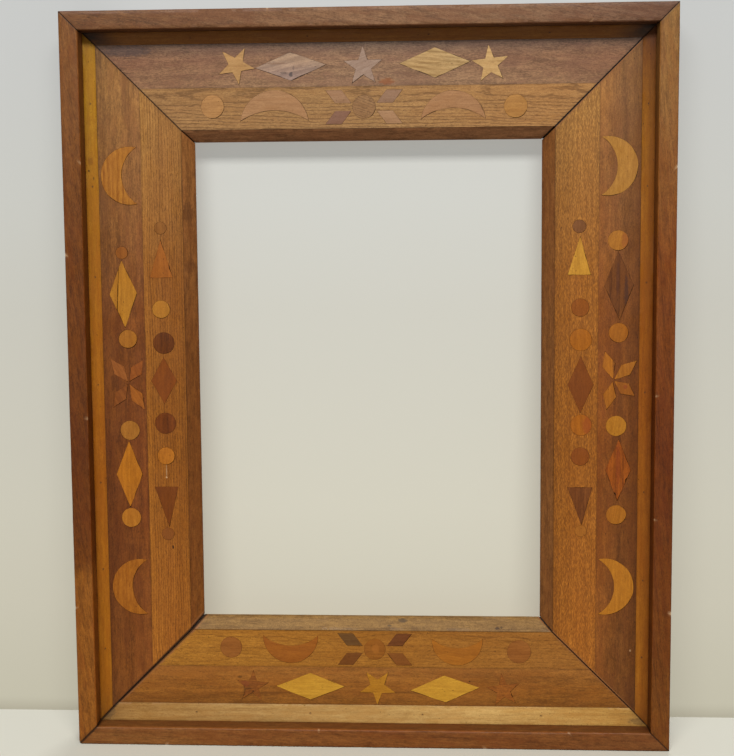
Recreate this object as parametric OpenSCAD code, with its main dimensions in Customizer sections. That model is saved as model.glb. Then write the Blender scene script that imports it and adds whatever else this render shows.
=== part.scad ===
// Inlaid picture frame: four mitred rails, each glued up from a deep rim, a light slip,
// a dark band, an oak band and a bevelled sight slip, with let-in geometric inlays.
// Millimetres, +Z up, front towards -Y, origin on the floor at the middle of the frame.

/* [Frame] */
// Outside width of the frame
frame_w = 570; // [520:5:680]
// Outside height of the frame
frame_h = 703; // [660:1:860]
// Width of every rail, from the outside edge to the sight edge
rail_w = 120; // [118:1:126]
// Depth of the rim, front to back
rim_depth = 42; // [40:1:60]
// Width of the rim's front face
rim_w = 17.5; // [14:0.5:20]
// Chamfer on the rim's front edges
arris = 0.8; // [0.2:0.1:2]

/* [Panel] */
// Depth of the rim's inner wall, from the rim's face to the light slip
wall_d = 15; // [10:0.5:17]
// Distance from the rim's face back to the bands' face
panel_d = 18; // [17:0.5:20]
// Thickness of the bands
panel_t = 20; // [16:0.5:20]

/* [Strip widths] */
// Width of the top rail's light slip
top_slip_w = 11.5; // [10:0.5:14]
// Width of the bottom rail's light slip
bottom_slip_w = 17; // [12:0.5:17]
// Width of the left rail's light slip
left_slip_w = 11.5; // [10:0.5:13]
// Width of the right rail's light slip
right_slip_w = 12; // [10:0.5:13]
// Width of the top rail's dark band
top_walnut_w = 41; // [40:0.5:42]
// Width of the bottom rail's dark band
bottom_walnut_w = 38; // [38:0.5:39]
// Width of the left rail's dark band
left_walnut_w = 41; // [40:0.5:42]
// Width of the right rail's dark band
right_walnut_w = 38.5; // [38:0.5:40]

/* [Sight edge] */
// Width of the sight slip
sight_w = 11; // [9:0.5:12]
// Depth that the sight slip's bevel falls
sight_fall = 10; // [6:0.5:11]
// Thickness of the sight slip at its edge
sight_lip = 3; // [2:0.5:4]

/* [Inlays] */
// Thickness of the inlays
inlay_t = 2.5; // [1.5:0.5:4]
// Glue line left open all round an inlay
glue_gap = 0.25; // [0.1:0.05:0.3]
// Inner corners of a star, as a share of its tips' radius
star_waist = 0.4; // [0.36:0.01:0.45]
// Width of the split in the cracked diamond
crack_w = 0.7; // [0.3:0.1:1.2]

/* [Mitres and nails] */
// Open mitre between the bands at the top left corner
gap_top_left = 0.5; // [0:0.1:2]
// Open mitre between the bands at the top right corner
gap_top_right = 1.3; // [0:0.1:2]
// Open mitre between the bands at the bottom left corner
gap_bottom_left = 1.1; // [0:0.1:2]
// Open mitre between the bands at the bottom right corner
gap_bottom_right = 1.1; // [0:0.1:2]
// Diameter of the nails through the rim's mitres
nail_d = 2.2; // [1.6:0.1:3]
// Length of the nails through the rim's mitres
nail_l = 34; // [26:1:45]
// Depth that a nail's head is set below the rim's outside
nail_set = 1; // [0.5:0.5:2]
// Diameter of the brads in the light slips
brad_d = 1.6; // [1.2:0.1:2]
// Length of the brads in the light slips
brad_l = 14; // [10:1:18]

/* [Hidden] */
$fn = 64;

TOP = 0;
BOTTOM = 1;
LEFT = 2;
RIGHT = 3;
WALNUT = 0;
OAK = 1;
SLIP_W = [top_slip_w, bottom_slip_w, left_slip_w, right_slip_w];
WALNUT_W = [top_walnut_w, bottom_walnut_w, left_walnut_w, right_walnut_w];
// Open mitre at the two ends of each rail: left then right, or upper then lower
END_GAPS = [[gap_top_left, gap_top_right], [gap_bottom_left, gap_bottom_right],
            [gap_top_left, gap_bottom_left], [gap_top_right, gap_bottom_right]];
oak_back = panel_d + panel_t;
sight_back = panel_d + sight_fall + sight_lip;
front_y = -rim_depth / 2;
long_cut = 2 * (frame_w + frame_h);

// Colours of the woods
RIM_WOOD = [0.43, 0.22, 0.10];
LIGHT_WOOD = [0.66, 0.42, 0.16];
WALNUT_WOOD = [0.40, 0.25, 0.16];
OAK_WOOD = [0.57, 0.37, 0.17];
SIGHT_WOOD = [0.44, 0.25, 0.12];
PALE_WOOD = [0.80, 0.58, 0.28];
GREY_WOOD = [0.58, 0.44, 0.38];
YELLOW_WOOD = [0.82, 0.60, 0.20];
ORANGE_WOOD = [0.68, 0.38, 0.14];
RED_WOOD = [0.48, 0.23, 0.11];
DARK_WOOD = [0.30, 0.15, 0.12];
STEEL = [0.25, 0.22, 0.20];

// Inlay rows hold: along the rail from its middle, across from the band's centre line
// (up on the top and bottom rails, right on the side rails), then the sizes and the turn.

// Stars: tip radius, turn
TOP_STARS = [[-122.5, 0, 18, -28], [-3, -2.5, 18.5, 1.5], [115.5, -2, 17.5, 6]];
BOTTOM_STARS = [[-116.5, -1.5, 16, -4], [6.2, -0.8, 18, 180], [129, -3, 16.5, 7.5]];
// Diamonds: half width, half height, turn
TOP_DIAMONDS = [[-71, -1.5, 33, 13.2, 2], [64, 0.3, 33, 13.8, 1]];
BOTTOM_DIAMONDS = [[-59.5, -1, 33.5, 13.5, 0], [72, -2.3, 33.5, 13.5, 3]];
LEFT_DIAMONDS = [[87.5, 0.5, 13.2, 32, 2], [-88, 2.3, 12.7, 32.2, 0]];
RIGHT_DIAMONDS = [[93, 0, 13.5, 32, 1.5], [-83, 0.8, 12, 29.5, -1]];
LEFT_OAK_DIAMOND = [[3.5, -2, 12.2, 22.2, 0]];
RIGHT_OAK_DIAMOND = [[-1, 4.5, 12, 26.8, 0]];
// Discs: radius
TOP_DISCS = [[-145.5, 2, 10.9], [139, -0.7, 10.8]];
BOTTOM_DISCS = [[-137, 0.7, 10.5], [143.8, -1.3, 11.4]];
LEFT_DISCS = [[127, 0, 5.9], [44, 3.8, 8.9], [-45, 3.7, 9.3], [-131, 3, 9.3]];
RIGHT_DISCS = [[135.5, -1.2, 9.4], [48.5, 0, 9.1], [-40.5, -1.4, 9.6], [-126.5, -0.6, 9.3]];
LEFT_PALE_DISCS = [[72.5, -3.3, 8.5], [-70, -1.5, 8.5]];
LEFT_DARK_DISCS = [[40, -1.4, 10.2], [-38, -1.5, 10.1]];
LEFT_SMALL_DISCS = [[150.2, -2.4, 5.8], [-147, -1.4, 6]];
RIGHT_RED_DISCS = [[72.5, 3.7, 8.4], [42, 4.4, 10.4], [-39.7, 5.2, 10], [-70, 4.6, 8.6]];
RIGHT_SMALL_DISCS = [[149, 2.3, 6.1], [-142.5, 5.6, 5.5]];
// Crescents, from the middle of the line between the tips: half of that line, rise of
// the outer edge, rise of the inner edge, turn
TOP_CRESCENTS = [[-87, -11.7, 32, 28.2, 9.6, 0], [81, -11.6, 30, 26, 10, 0]];
BOTTOM_CRESCENTS = [[-78.5, 12.5, 26.8, 27, 10, 180], [84, 10.5, 24.5, 26, 9, 180]];
LEFT_CRESCENTS = [[200, 16, 26.8, 34.2, 14.5, 90], [-200, 17, 27, 34.2, 14.5, 90]];
RIGHT_CRESCENTS = [[205, -17, 27, 33.5, 14.8, -90], [-197, -16.8, 27, 33.5, 15.2, -90]];
// Triangles, from the middle of the base: half of the base, height, lean of the apex, turn
LEFT_TRIANGLES = [[103, -2.5, 11, 36, 0, 0], [-100.5, -1.8, 11.2, 39, -2, 180]];
RIGHT_TRIANGLES = [[103.5, 2.6, 10.8, 35.5, 0.5, 0], [-100, 4.6, 11.6, 36, -1.8, 180]];
// Flowers on the top and bottom rails: radius of the disc
TOP_FLOWER = [[-2.5, 0.2, 10.8]];
BOTTOM_FLOWER = [[3.8, -0.3, 10.3]];
// Their petals, from the flower's middle: start, width, height and lean of each slanted piece
PETAL_OUT = 12.2;
PETAL_UP = 3.8;
PETAL_W = 14.8;
PETAL_H = 11.8;
PETAL_LEAN = 9;
// Flowers on the side rails: middle, then each petal's length and direction
LEFT_FLOWER = [1.5, 3.6];
LEFT_PETALS = [[28.5, 126], [26, 57], [30, -60], [28.5, -123]];
RIGHT_FLOWER = [3.3, -4.6];
RIGHT_PETALS = [[28.5, 106], [29, 40], [25.5, -36.5], [28.5, -102]];
PETAL_HALF_W = 6.2;
PETAL_ROOT = 1.6;
// Where the crack runs in the upper left diamond, from its middle, and its slant
CRACK_X = -5.4;
CRACK_SLANT = -3;
// Brads along each slip, from the rail's middle
BRADS = [[-165, -55, 58, 170], [-172, -60, 50, 165],
         [-268, -190, -104, 0, 96, 182, 262], [-262, -186, -96, 8, 104, 190, 266]];
// Nails at each rim corner: depth from the rim's face
NAIL_DEPTHS = [13, 30];

function band_start(side) = rim_w + SLIP_W[side];
function oak_start(side) = band_start(side) + WALNUT_W[side];
function oak_end() = rail_w - sight_w;
function band_middle(side, band) =
    band == WALNUT ? band_start(side) + WALNUT_W[side] / 2 : (oak_start(side) + oak_end()) / 2;
// Front-view place of a row: x and z
function spot(side, band, row) =
    side == TOP ? [row[0], frame_h - band_middle(side, band) + row[1]] :
    side == BOTTOM ? [row[0], band_middle(side, band) + row[1]] :
    side == LEFT ? [-frame_w / 2 + band_middle(side, band) + row[1], frame_h / 2 + row[0]] :
    [frame_w / 2 - band_middle(side, band) + row[1], frame_h / 2 + row[0]];
// Radius of the circle through a chord's ends and the top of its arc
function arc_r(half_span, rise) = (half_span * half_span + rise * rise) / (2 * rise);
// Distance from a diamond's middle to its sides
function diamond_in_r(a, b) = a * b / sqrt(a * a + b * b);

// Moves a rail drawn along X, outside edge down, to its side of the frame
module place(side) {
    if (side == TOP) translate([0, 0, frame_h]) mirror([0, 0, 1]) children();
    if (side == BOTTOM) children();
    if (side == LEFT) translate([-frame_w / 2, 0, frame_h / 2]) rotate([0, 90, 0]) children();
    if (side == RIGHT)
        mirror([1, 0, 0]) translate([-frame_w / 2, 0, frame_h / 2]) rotate([0, 90, 0]) children();
}

// Front-view outline of a rail between its two mitres
module mitre_wedge(side, gaps) {
    half = (side == TOP || side == BOTTOM ? frame_w : frame_h) / 2;
    a = half - gaps[0] / sqrt(2);
    b = half - gaps[1] / sqrt(2);
    rotate([90, 0, 0]) linear_extrude(height = 2 * rim_depth, center = true)
        polygon([[-a, 0], [b, 0], [b - rail_w, rail_w], [-a + rail_w, rail_w]]);
}

// A strip of one rail; the section's points are depth from the rim's face, then distance
// from the outside edge
module strip(side, section, gaps = [0, 0]) {
    place(side) intersection() {
        rotate([90, 0, 90]) linear_extrude(height = long_cut, center = true)
            polygon([for (p = section) [front_y + p[0], p[1]]]);
        mitre_wedge(side, gaps);
    }
}

// A front-view outline let into the bands' face
module let_in() {
    translate([0, front_y + panel_d + inlay_t, 0]) rotate([90, 0, 0])
        linear_extrude(height = inlay_t) children();
}

// Outlines of one inlay each; grow moves every side outwards
module star(r, grow) {
    waist = star_waist * r;
    in_r = r * waist * sin(36) / sqrt(r * r + waist * waist - 2 * r * waist * cos(36));
    k = 1 + grow / in_r;
    polygon([for (i = [0:9]) let (q = k * (i % 2 == 0 ? r : waist), a = 90 + 36 * i)
        [q * cos(a), q * sin(a)]]);
}

module diamond(half_w, half_h, grow) {
    k = 1 + grow / diamond_in_r(half_w, half_h);
    polygon([[-k * half_w, 0], [0, -k * half_h], [k * half_w, 0], [0, k * half_h]]);
}

module crescent(half_span, rise_out, rise_in, grow) {
    outer = arc_r(half_span, rise_out);
    inner = arc_r(half_span, rise_in);
    difference() {
        translate([0, rise_out - outer]) circle(outer + grow);
        translate([0, rise_in - inner]) circle(inner - grow);
    }
}

module triangle(half_base, height, lean, grow) {
    left = norm([half_base + lean, height]);
    right = norm([half_base - lean, height]);
    base = 2 * half_base;
    around = left + right + base;
    in_r = base * height / around;
    middle = [(right * -half_base + left * half_base + base * lean) / around,
              base * height / around];
    k = 1 + grow / in_r;
    polygon([for (p = [[-half_base, 0], [half_base, 0], [lean, height]])
        middle + k * (p - middle)]);
}

module slanted_petal(grow) {
    half = PETAL_W / 2;
    slope = PETAL_LEAN / PETAL_H;
    up = PETAL_H / 2 + grow;
    out = half + grow * sqrt(1 + slope * slope);
    translate([PETAL_OUT + half + PETAL_LEAN / 2, PETAL_UP + PETAL_H / 2])
        polygon([[-out - slope * up, -up], [out - slope * up, -up],
                 [out + slope * up, up], [-out + slope * up, up]]);
}

// Rows of inlays
module stars(side, rows, grow = 0) {
    for (r = rows) translate(spot(side, WALNUT, r)) rotate(r[3]) star(r[2], grow);
}

module diamonds(side, band, rows, grow = 0) {
    for (r = rows) translate(spot(side, band, r)) rotate(r[4]) diamond(r[2], r[3], grow);
}

module discs(side, band, rows, grow = 0) {
    for (r = rows) translate(spot(side, band, r)) circle(r[2] + grow);
}

module crescents(side, band, rows, grow = 0) {
    for (r = rows)
        translate(spot(side, band, r)) rotate(r[5]) crescent(r[2], r[3], r[4], grow);
}

module triangles(side, rows, grow = 0) {
    for (r = rows)
        translate(spot(side, OAK, r)) rotate(r[5]) triangle(r[2], r[3], r[4], grow);
}

module slanted_petals(side, flower, grow = 0) {
    translate(spot(side, OAK, flower)) for (x = [0, 1], y = [0, 1])
        mirror([x, 0]) mirror([0, y]) slanted_petal(grow);
}

module leaf_petals(side, flower, petals, grow = 0) {
    translate(spot(side, WALNUT, flower)) for (p = petals)
        rotate(p[1]) translate([(PETAL_ROOT + p[0]) / 2, 0])
            diamond((p[0] - PETAL_ROOT) / 2, PETAL_HALF_W, grow);
}

// The strips of each rail
module rim(side) {
    color(RIM_WOOD) difference() {
        strip(side, [[arris, 0], [rim_depth, 0], [rim_depth, rim_w], [arris, rim_w],
                     [0, rim_w - arris], [0, arris]]);
        nail_holes();
    }
}

module light_slip(side) {
    color(LIGHT_WOOD) difference() {
        strip(side, [[wall_d, rim_w], [oak_back, rim_w], [oak_back, band_start(side)],
                     [panel_d, band_start(side)]]);
        brads_of(side);
    }
}

module walnut_band(side) {
    color(WALNUT_WOOD) difference() {
        strip(side, [[panel_d, band_start(side)], [oak_back, band_start(side)],
                     [oak_back, oak_start(side)], [panel_d, oak_start(side)]], END_GAPS[side]);
        children();
    }
}

module oak_band(side) {
    color(OAK_WOOD) difference() {
        strip(side, [[panel_d, oak_start(side)], [oak_back, oak_start(side)],
                     [oak_back, oak_end()], [panel_d, oak_end()]], END_GAPS[side]);
        children();
    }
}

module sight_slip(side) {
    color(SIGHT_WOOD)
        strip(side, [[panel_d, oak_end()], [sight_back, oak_end()], [sight_back, rail_w],
                     [panel_d + sight_fall, rail_w]], END_GAPS[side]);
}

module top_rim() { rim(TOP); }
module bottom_rim() { rim(BOTTOM); }
module left_rim() { rim(LEFT); }
module right_rim() { rim(RIGHT); }
module top_light_slip() { light_slip(TOP); }
module bottom_light_slip() { light_slip(BOTTOM); }
module left_light_slip() { light_slip(LEFT); }
module right_light_slip() { light_slip(RIGHT); }
module top_sight_slip() { sight_slip(TOP); }
module bottom_sight_slip() { sight_slip(BOTTOM); }
module left_sight_slip() { sight_slip(LEFT); }
module right_sight_slip() { sight_slip(RIGHT); }

module top_walnut_band() {
    walnut_band(TOP) let_in() {
        stars(TOP, TOP_STARS, glue_gap);
        diamonds(TOP, WALNUT, TOP_DIAMONDS, glue_gap);
    }
}

module bottom_walnut_band() {
    walnut_band(BOTTOM) let_in() {
        stars(BOTTOM, BOTTOM_STARS, glue_gap);
        diamonds(BOTTOM, WALNUT, BOTTOM_DIAMONDS, glue_gap);
    }
}

module left_walnut_band() {
    walnut_band(LEFT) let_in() {
        crescents(LEFT, WALNUT, LEFT_CRESCENTS, glue_gap);
        diamonds(LEFT, WALNUT, LEFT_DIAMONDS, glue_gap);
        discs(LEFT, WALNUT, LEFT_DISCS, glue_gap);
        leaf_petals(LEFT, LEFT_FLOWER, LEFT_PETALS, glue_gap);
    }
}

module right_walnut_band() {
    walnut_band(RIGHT) let_in() {
        crescents(RIGHT, WALNUT, RIGHT_CRESCENTS, glue_gap);
        diamonds(RIGHT, WALNUT, RIGHT_DIAMONDS, glue_gap);
        discs(RIGHT, WALNUT, RIGHT_DISCS, glue_gap);
        leaf_petals(RIGHT, RIGHT_FLOWER, RIGHT_PETALS, glue_gap);
    }
}

module top_oak_band() {
    oak_band(TOP) let_in() {
        discs(TOP, OAK, TOP_DISCS, glue_gap);
        crescents(TOP, OAK, TOP_CRESCENTS, glue_gap);
        discs(TOP, OAK, TOP_FLOWER, glue_gap);
        slanted_petals(TOP, TOP_FLOWER[0], glue_gap);
    }
}

module bottom_oak_band() {
    oak_band(BOTTOM) let_in() {
        discs(BOTTOM, OAK, BOTTOM_DISCS, glue_gap);
        crescents(BOTTOM, OAK, BOTTOM_CRESCENTS, glue_gap);
        discs(BOTTOM, OAK, BOTTOM_FLOWER, glue_gap);
        slanted_petals(BOTTOM, BOTTOM_FLOWER[0], glue_gap);
    }
}

module left_oak_band() {
    oak_band(LEFT) let_in() {
        triangles(LEFT, LEFT_TRIANGLES, glue_gap);
        for (rows = [LEFT_PALE_DISCS, LEFT_DARK_DISCS, LEFT_SMALL_DISCS])
            discs(LEFT, OAK, rows, glue_gap);
        diamonds(LEFT, OAK, LEFT_OAK_DIAMOND, glue_gap);
    }
}

module right_oak_band() {
    oak_band(RIGHT) let_in() {
        triangles(RIGHT, RIGHT_TRIANGLES, glue_gap);
        for (rows = [RIGHT_RED_DISCS, RIGHT_SMALL_DISCS])
            discs(RIGHT, OAK, rows, glue_gap);
        diamonds(RIGHT, OAK, RIGHT_OAK_DIAMOND, glue_gap);
    }
}

// The inlays of each rail; outer takes the first and last row of a list, inner the rest
function outer(rows) = [rows[0], rows[len(rows) - 1]];
function inner(rows) = [for (i = [1:len(rows) - 2]) rows[i]];

module top_outer_stars() { color(PALE_WOOD) let_in() stars(TOP, outer(TOP_STARS)); }
module top_middle_star() { color(GREY_WOOD) let_in() stars(TOP, inner(TOP_STARS)); }
module top_left_diamond() {
    color(GREY_WOOD) let_in() diamonds(TOP, WALNUT, [TOP_DIAMONDS[0]]);
}
module top_right_diamond() {
    color(PALE_WOOD) let_in() diamonds(TOP, WALNUT, [TOP_DIAMONDS[1]]);
}
module top_discs() { color(PALE_WOOD) let_in() discs(TOP, OAK, TOP_DISCS); }
module top_crescents() { color(ORANGE_WOOD) let_in() crescents(TOP, OAK, TOP_CRESCENTS); }
module top_flower_disc() { color(OAK_WOOD) let_in() discs(TOP, OAK, TOP_FLOWER); }
module top_flower_petals() { color(GREY_WOOD) let_in() slanted_petals(TOP, TOP_FLOWER[0]); }

module bottom_outer_stars() {
    color(WALNUT_WOOD) let_in() stars(BOTTOM, outer(BOTTOM_STARS));
}
module bottom_middle_star() { color(YELLOW_WOOD) let_in() stars(BOTTOM, inner(BOTTOM_STARS)); }
module bottom_diamonds() {
    color(YELLOW_WOOD) let_in() diamonds(BOTTOM, WALNUT, BOTTOM_DIAMONDS);
}
module bottom_discs() { color(RED_WOOD) let_in() discs(BOTTOM, OAK, BOTTOM_DISCS); }
module bottom_crescents() {
    color(ORANGE_WOOD) let_in() crescents(BOTTOM, OAK, BOTTOM_CRESCENTS);
}
module bottom_flower_disc() { color(ORANGE_WOOD) let_in() discs(BOTTOM, OAK, BOTTOM_FLOWER); }
module bottom_flower_petals() {
    color(DARK_WOOD) let_in() slanted_petals(BOTTOM, BOTTOM_FLOWER[0]);
}

module left_crescents() { color(ORANGE_WOOD) let_in() crescents(LEFT, WALNUT, LEFT_CRESCENTS); }
// The upper diamond is split along its grain, so it is two pieces
module left_diamonds() {
    color(YELLOW_WOOD) let_in() difference() {
        diamonds(LEFT, WALNUT, LEFT_DIAMONDS);
        translate(spot(LEFT, WALNUT, LEFT_DIAMONDS[0])) translate([CRACK_X, 0])
            rotate(CRACK_SLANT) square([crack_w, 4 * LEFT_DIAMONDS[0][2]], center = true);
    }
}
module left_discs() { color(YELLOW_WOOD) let_in() discs(LEFT, WALNUT, LEFT_DISCS); }
module left_flower_petals() {
    color(ORANGE_WOOD) let_in() leaf_petals(LEFT, LEFT_FLOWER, LEFT_PETALS);
}
module left_upper_triangle() { color(RED_WOOD) let_in() triangles(LEFT, [LEFT_TRIANGLES[0]]); }
module left_lower_triangle() { color(DARK_WOOD) let_in() triangles(LEFT, [LEFT_TRIANGLES[1]]); }
module left_pale_discs() { color(YELLOW_WOOD) let_in() discs(LEFT, OAK, LEFT_PALE_DISCS); }
module left_dark_discs() { color(DARK_WOOD) let_in() discs(LEFT, OAK, LEFT_DARK_DISCS); }
module left_small_discs() { color(RED_WOOD) let_in() discs(LEFT, OAK, LEFT_SMALL_DISCS); }
module left_oak_diamond() { color(RED_WOOD) let_in() diamonds(LEFT, OAK, LEFT_OAK_DIAMOND); }

module right_crescents() {
    color(YELLOW_WOOD) let_in() crescents(RIGHT, WALNUT, RIGHT_CRESCENTS);
}
module right_upper_diamond() {
    color(DARK_WOOD) let_in() diamonds(RIGHT, WALNUT, [RIGHT_DIAMONDS[0]]);
}
module right_lower_diamond() {
    color(ORANGE_WOOD) let_in() diamonds(RIGHT, WALNUT, [RIGHT_DIAMONDS[1]]);
}
module right_discs() { color(YELLOW_WOOD) let_in() discs(RIGHT, WALNUT, RIGHT_DISCS); }
module right_flower_petals() {
    color(ORANGE_WOOD) let_in() leaf_petals(RIGHT, RIGHT_FLOWER, RIGHT_PETALS);
}
module right_upper_triangle() {
    color(YELLOW_WOOD) let_in() triangles(RIGHT, [RIGHT_TRIANGLES[0]]);
}
module right_lower_triangle() { color(DARK_WOOD) let_in() triangles(RIGHT, [RIGHT_TRIANGLES[1]]); }
module right_red_discs() { color(RED_WOOD) let_in() discs(RIGHT, OAK, RIGHT_RED_DISCS); }
module right_small_discs() { color(DARK_WOOD) let_in() discs(RIGHT, OAK, RIGHT_SMALL_DISCS); }
module right_oak_diamond() { color(RED_WOOD) let_in() diamonds(RIGHT, OAK, RIGHT_OAK_DIAMOND); }

// Brads of one slip, square to its face and flush with it at their centres
module brads_of(side) {
    place(side) for (u = BRADS[side])
        translate([u, front_y + (wall_d + panel_d) / 2, rim_w + SLIP_W[side] / 2])
            rotate([-90, 0, 0]) cylinder(d = brad_d, h = brad_l);
}

module slip_brads() {
    color(STEEL) for (side = [TOP, BOTTOM, LEFT, RIGHT]) brads_of(side);
}

// Nails run down from the top rim and up from the bottom rim, into the side rims
module nails_at(start, length) {
    for (end = [0, 1], x = [-1, 1], d = NAIL_DEPTHS)
        translate([x * (frame_w - rim_w) / 2, front_y + d, end == 0 ? start : frame_h - start])
            rotate([end == 0 ? 0 : 180, 0, 0]) cylinder(d = nail_d, h = length);
}

module nail_holes() {
    nails_at(-nail_set, nail_l + 2 * nail_set);
}

module corner_nails() {
    color(STEEL) nails_at(nail_set, nail_l);
}

top_rim();
bottom_rim();
left_rim();
right_rim();
top_light_slip();
bottom_light_slip();
left_light_slip();
right_light_slip();
top_walnut_band();
bottom_walnut_band();
left_walnut_band();
right_walnut_band();
top_oak_band();
bottom_oak_band();
left_oak_band();
right_oak_band();
top_sight_slip();
bottom_sight_slip();
left_sight_slip();
right_sight_slip();
top_outer_stars();
top_middle_star();
top_left_diamond();
top_right_diamond();
top_discs();
top_crescents();
top_flower_disc();
top_flower_petals();
bottom_outer_stars();
bottom_middle_star();
bottom_diamonds();
bottom_discs();
bottom_crescents();
bottom_flower_disc();
bottom_flower_petals();
left_crescents();
left_diamonds();
left_discs();
left_flower_petals();
left_upper_triangle();
left_lower_triangle();
left_pale_discs();
left_dark_discs();
left_small_discs();
left_oak_diamond();
right_crescents();
right_upper_diamond();
right_lower_diamond();
right_discs();
right_flower_petals();
right_upper_triangle();
right_lower_triangle();
right_red_discs();
right_small_discs();
right_oak_diamond();
slip_brads();
corner_nails();
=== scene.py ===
"""Looks of an inlaid picture frame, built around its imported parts.

The object is in metres, +Z up, with its front towards -Y. Its four rails are described in
millimetres: along the rail from its middle, across it from the outside edge, and in depth.
"""
import math
import random
from collections import namedtuple

import bmesh
import bpy
import numpy as np
from mathutils import Matrix, Vector, noise

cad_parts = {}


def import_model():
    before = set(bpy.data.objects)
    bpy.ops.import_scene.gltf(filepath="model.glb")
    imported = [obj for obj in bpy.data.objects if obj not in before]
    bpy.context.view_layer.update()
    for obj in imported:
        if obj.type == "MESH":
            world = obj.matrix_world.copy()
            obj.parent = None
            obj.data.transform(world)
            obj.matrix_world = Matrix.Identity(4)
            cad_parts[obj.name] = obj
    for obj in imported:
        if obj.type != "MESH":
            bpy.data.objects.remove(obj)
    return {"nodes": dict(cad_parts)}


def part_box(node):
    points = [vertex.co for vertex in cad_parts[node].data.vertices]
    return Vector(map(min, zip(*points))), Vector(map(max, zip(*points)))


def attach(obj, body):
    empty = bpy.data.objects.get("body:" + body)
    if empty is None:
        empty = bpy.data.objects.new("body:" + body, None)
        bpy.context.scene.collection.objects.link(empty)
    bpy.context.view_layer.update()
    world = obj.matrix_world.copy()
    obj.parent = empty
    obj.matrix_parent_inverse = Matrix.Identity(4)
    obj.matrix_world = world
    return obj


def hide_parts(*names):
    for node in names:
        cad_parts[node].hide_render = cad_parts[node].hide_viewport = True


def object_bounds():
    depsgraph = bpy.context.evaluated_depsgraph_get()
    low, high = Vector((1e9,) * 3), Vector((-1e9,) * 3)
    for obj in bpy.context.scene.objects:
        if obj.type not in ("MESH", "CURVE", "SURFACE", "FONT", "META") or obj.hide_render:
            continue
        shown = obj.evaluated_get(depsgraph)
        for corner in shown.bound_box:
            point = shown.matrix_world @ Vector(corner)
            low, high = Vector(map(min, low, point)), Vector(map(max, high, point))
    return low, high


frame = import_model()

MM = 0.001
cad_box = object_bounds()
FRAME_W = (cad_box[1].x - cad_box[0].x) / MM
FRAME_H = cad_box[1].z / MM
RIM_FACE = cad_box[0].y / MM
SIDES = ("top", "bottom", "left", "right")
# Each rail: direction along it and the reading at zero, then the same across it
RAIL_AXES = {
    "top": ((1, 0, 0), 0.0, (0, 0, -1), FRAME_H),
    "bottom": ((1, 0, 0), 0.0, (0, 0, 1), 0.0),
    "left": ((0, 0, 1), -FRAME_H / 2, (1, 0, 0), FRAME_W / 2),
    "right": ((0, 0, 1), -FRAME_H / 2, (-1, 0, 0), FRAME_W / 2),
}
HALF_LENGTH = {"top": FRAME_W / 2, "bottom": FRAME_W / 2, "left": FRAME_H / 2, "right": FRAME_H / 2}


def rail_point(side, along, across, depth):
    """The point in metres at a place on a rail."""
    a, a0, c, c0 = RAIL_AXES[side]
    return (Vector(a) * (along - a0) + Vector(c) * (across - c0) + Vector((0, depth, 0))) * MM


def side_of(node):
    """The rail that a node is in: every node of one rail is named for it."""
    return node.split("_")[0]


def rail_reach(node):
    """Lowest and highest (along, across, depth) of a CAD node, in millimetres."""
    a, a0, c, c0 = RAIL_AXES[side_of(node)]
    corners = [Vector(p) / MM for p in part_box(node)]
    along = sorted(p.dot(Vector(a)) + a0 for p in corners)
    across = sorted(p.dot(Vector(c)) + c0 for p in corners)
    return tuple(zip(along, across, (corners[0].y, corners[1].y)))


RIM_W = rail_reach("top_rim")[1][1]
# Thickness of the sight slips at the opening
LIP = 3.0


def unit(vectors):
    return vectors / np.maximum(np.linalg.norm(vectors, axis=-1, keepdims=True), 1e-9)


# Helpers for node trees


class Reading:
    """What comes out of a node, which can be reckoned with like a number."""

    def __init__(self, socket):
        self.socket = socket

    def other(self, key):
        """Another output of the same node."""
        return Reading(self.socket.node.outputs[key])

    def parts(self):
        """All outputs of the same node."""
        return [Reading(socket) for socket in self.socket.node.outputs]

    def __add__(self, more):
        return calc("ADD", self, more)

    def __sub__(self, less):
        return calc("SUBTRACT", self, less)

    def __rsub__(self, whole):
        return calc("SUBTRACT", whole, self)

    def __mul__(self, times):
        return calc("MULTIPLY", self, times)

    def __truediv__(self, share):
        return calc("DIVIDE", self, share)


def put(tree, kind, ins=(), **settings):
    """Adds a node, sets it, and fills its inputs: a reading is linked, anything else is a value.
    The reading that comes back is the node's first output."""
    node = tree.nodes.new(kind)
    for key, value in settings.items():
        setattr(node, key, value)
    for key, value in dict(ins).items():
        if isinstance(value, Reading):
            tree.links.new(value.socket, node.inputs[key])
        else:
            node.inputs[key].default_value = value
    return Reading(node.outputs[0]) if node.outputs else None


def tree_of(*values):
    """The node tree of the readings among some values."""
    return next(value.socket.id_data for value in values if isinstance(value, Reading))


def calc(operation, *values, clamp=False):
    ins = dict(enumerate(values))
    return put(tree_of(*values), "ShaderNodeMath", ins, operation=operation, use_clamp=clamp)


def span(value, low, high, to_low=0.0, to_high=1.0, way="SMOOTHSTEP"):
    """Turns low to high of a value into to_low to to_high, and no further."""
    ins = {"Value": value, "From Min": low, "From Max": high, "To Min": to_low, "To Max": to_high}
    return put(tree_of(value), "ShaderNodeMapRange", ins, interpolation_type=way)


def blend(share, first, second, how="MIX"):
    """Mixes two colours."""
    tree, ins = tree_of(share, first, second), {0: share, 6: first, 7: second}
    return put(tree, "ShaderNodeMix", ins, data_type="RGBA", blend_type=how).other(2)


def srgb(red, green, blue):
    """A colour as a screen shows it, 0 to 255, turned into the shader's linear values."""
    def linear(v):
        v = v / 255
        return v / 12.92 if v <= 0.04045 else ((v + 0.055) / 1.055) ** 2.4
    return (linear(red), linear(green), linear(blue), 1.0)


def stained(colour, share, tone):
    """A colour under a share of a screen tone."""
    return blend(share, colour, srgb(*tone))


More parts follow.
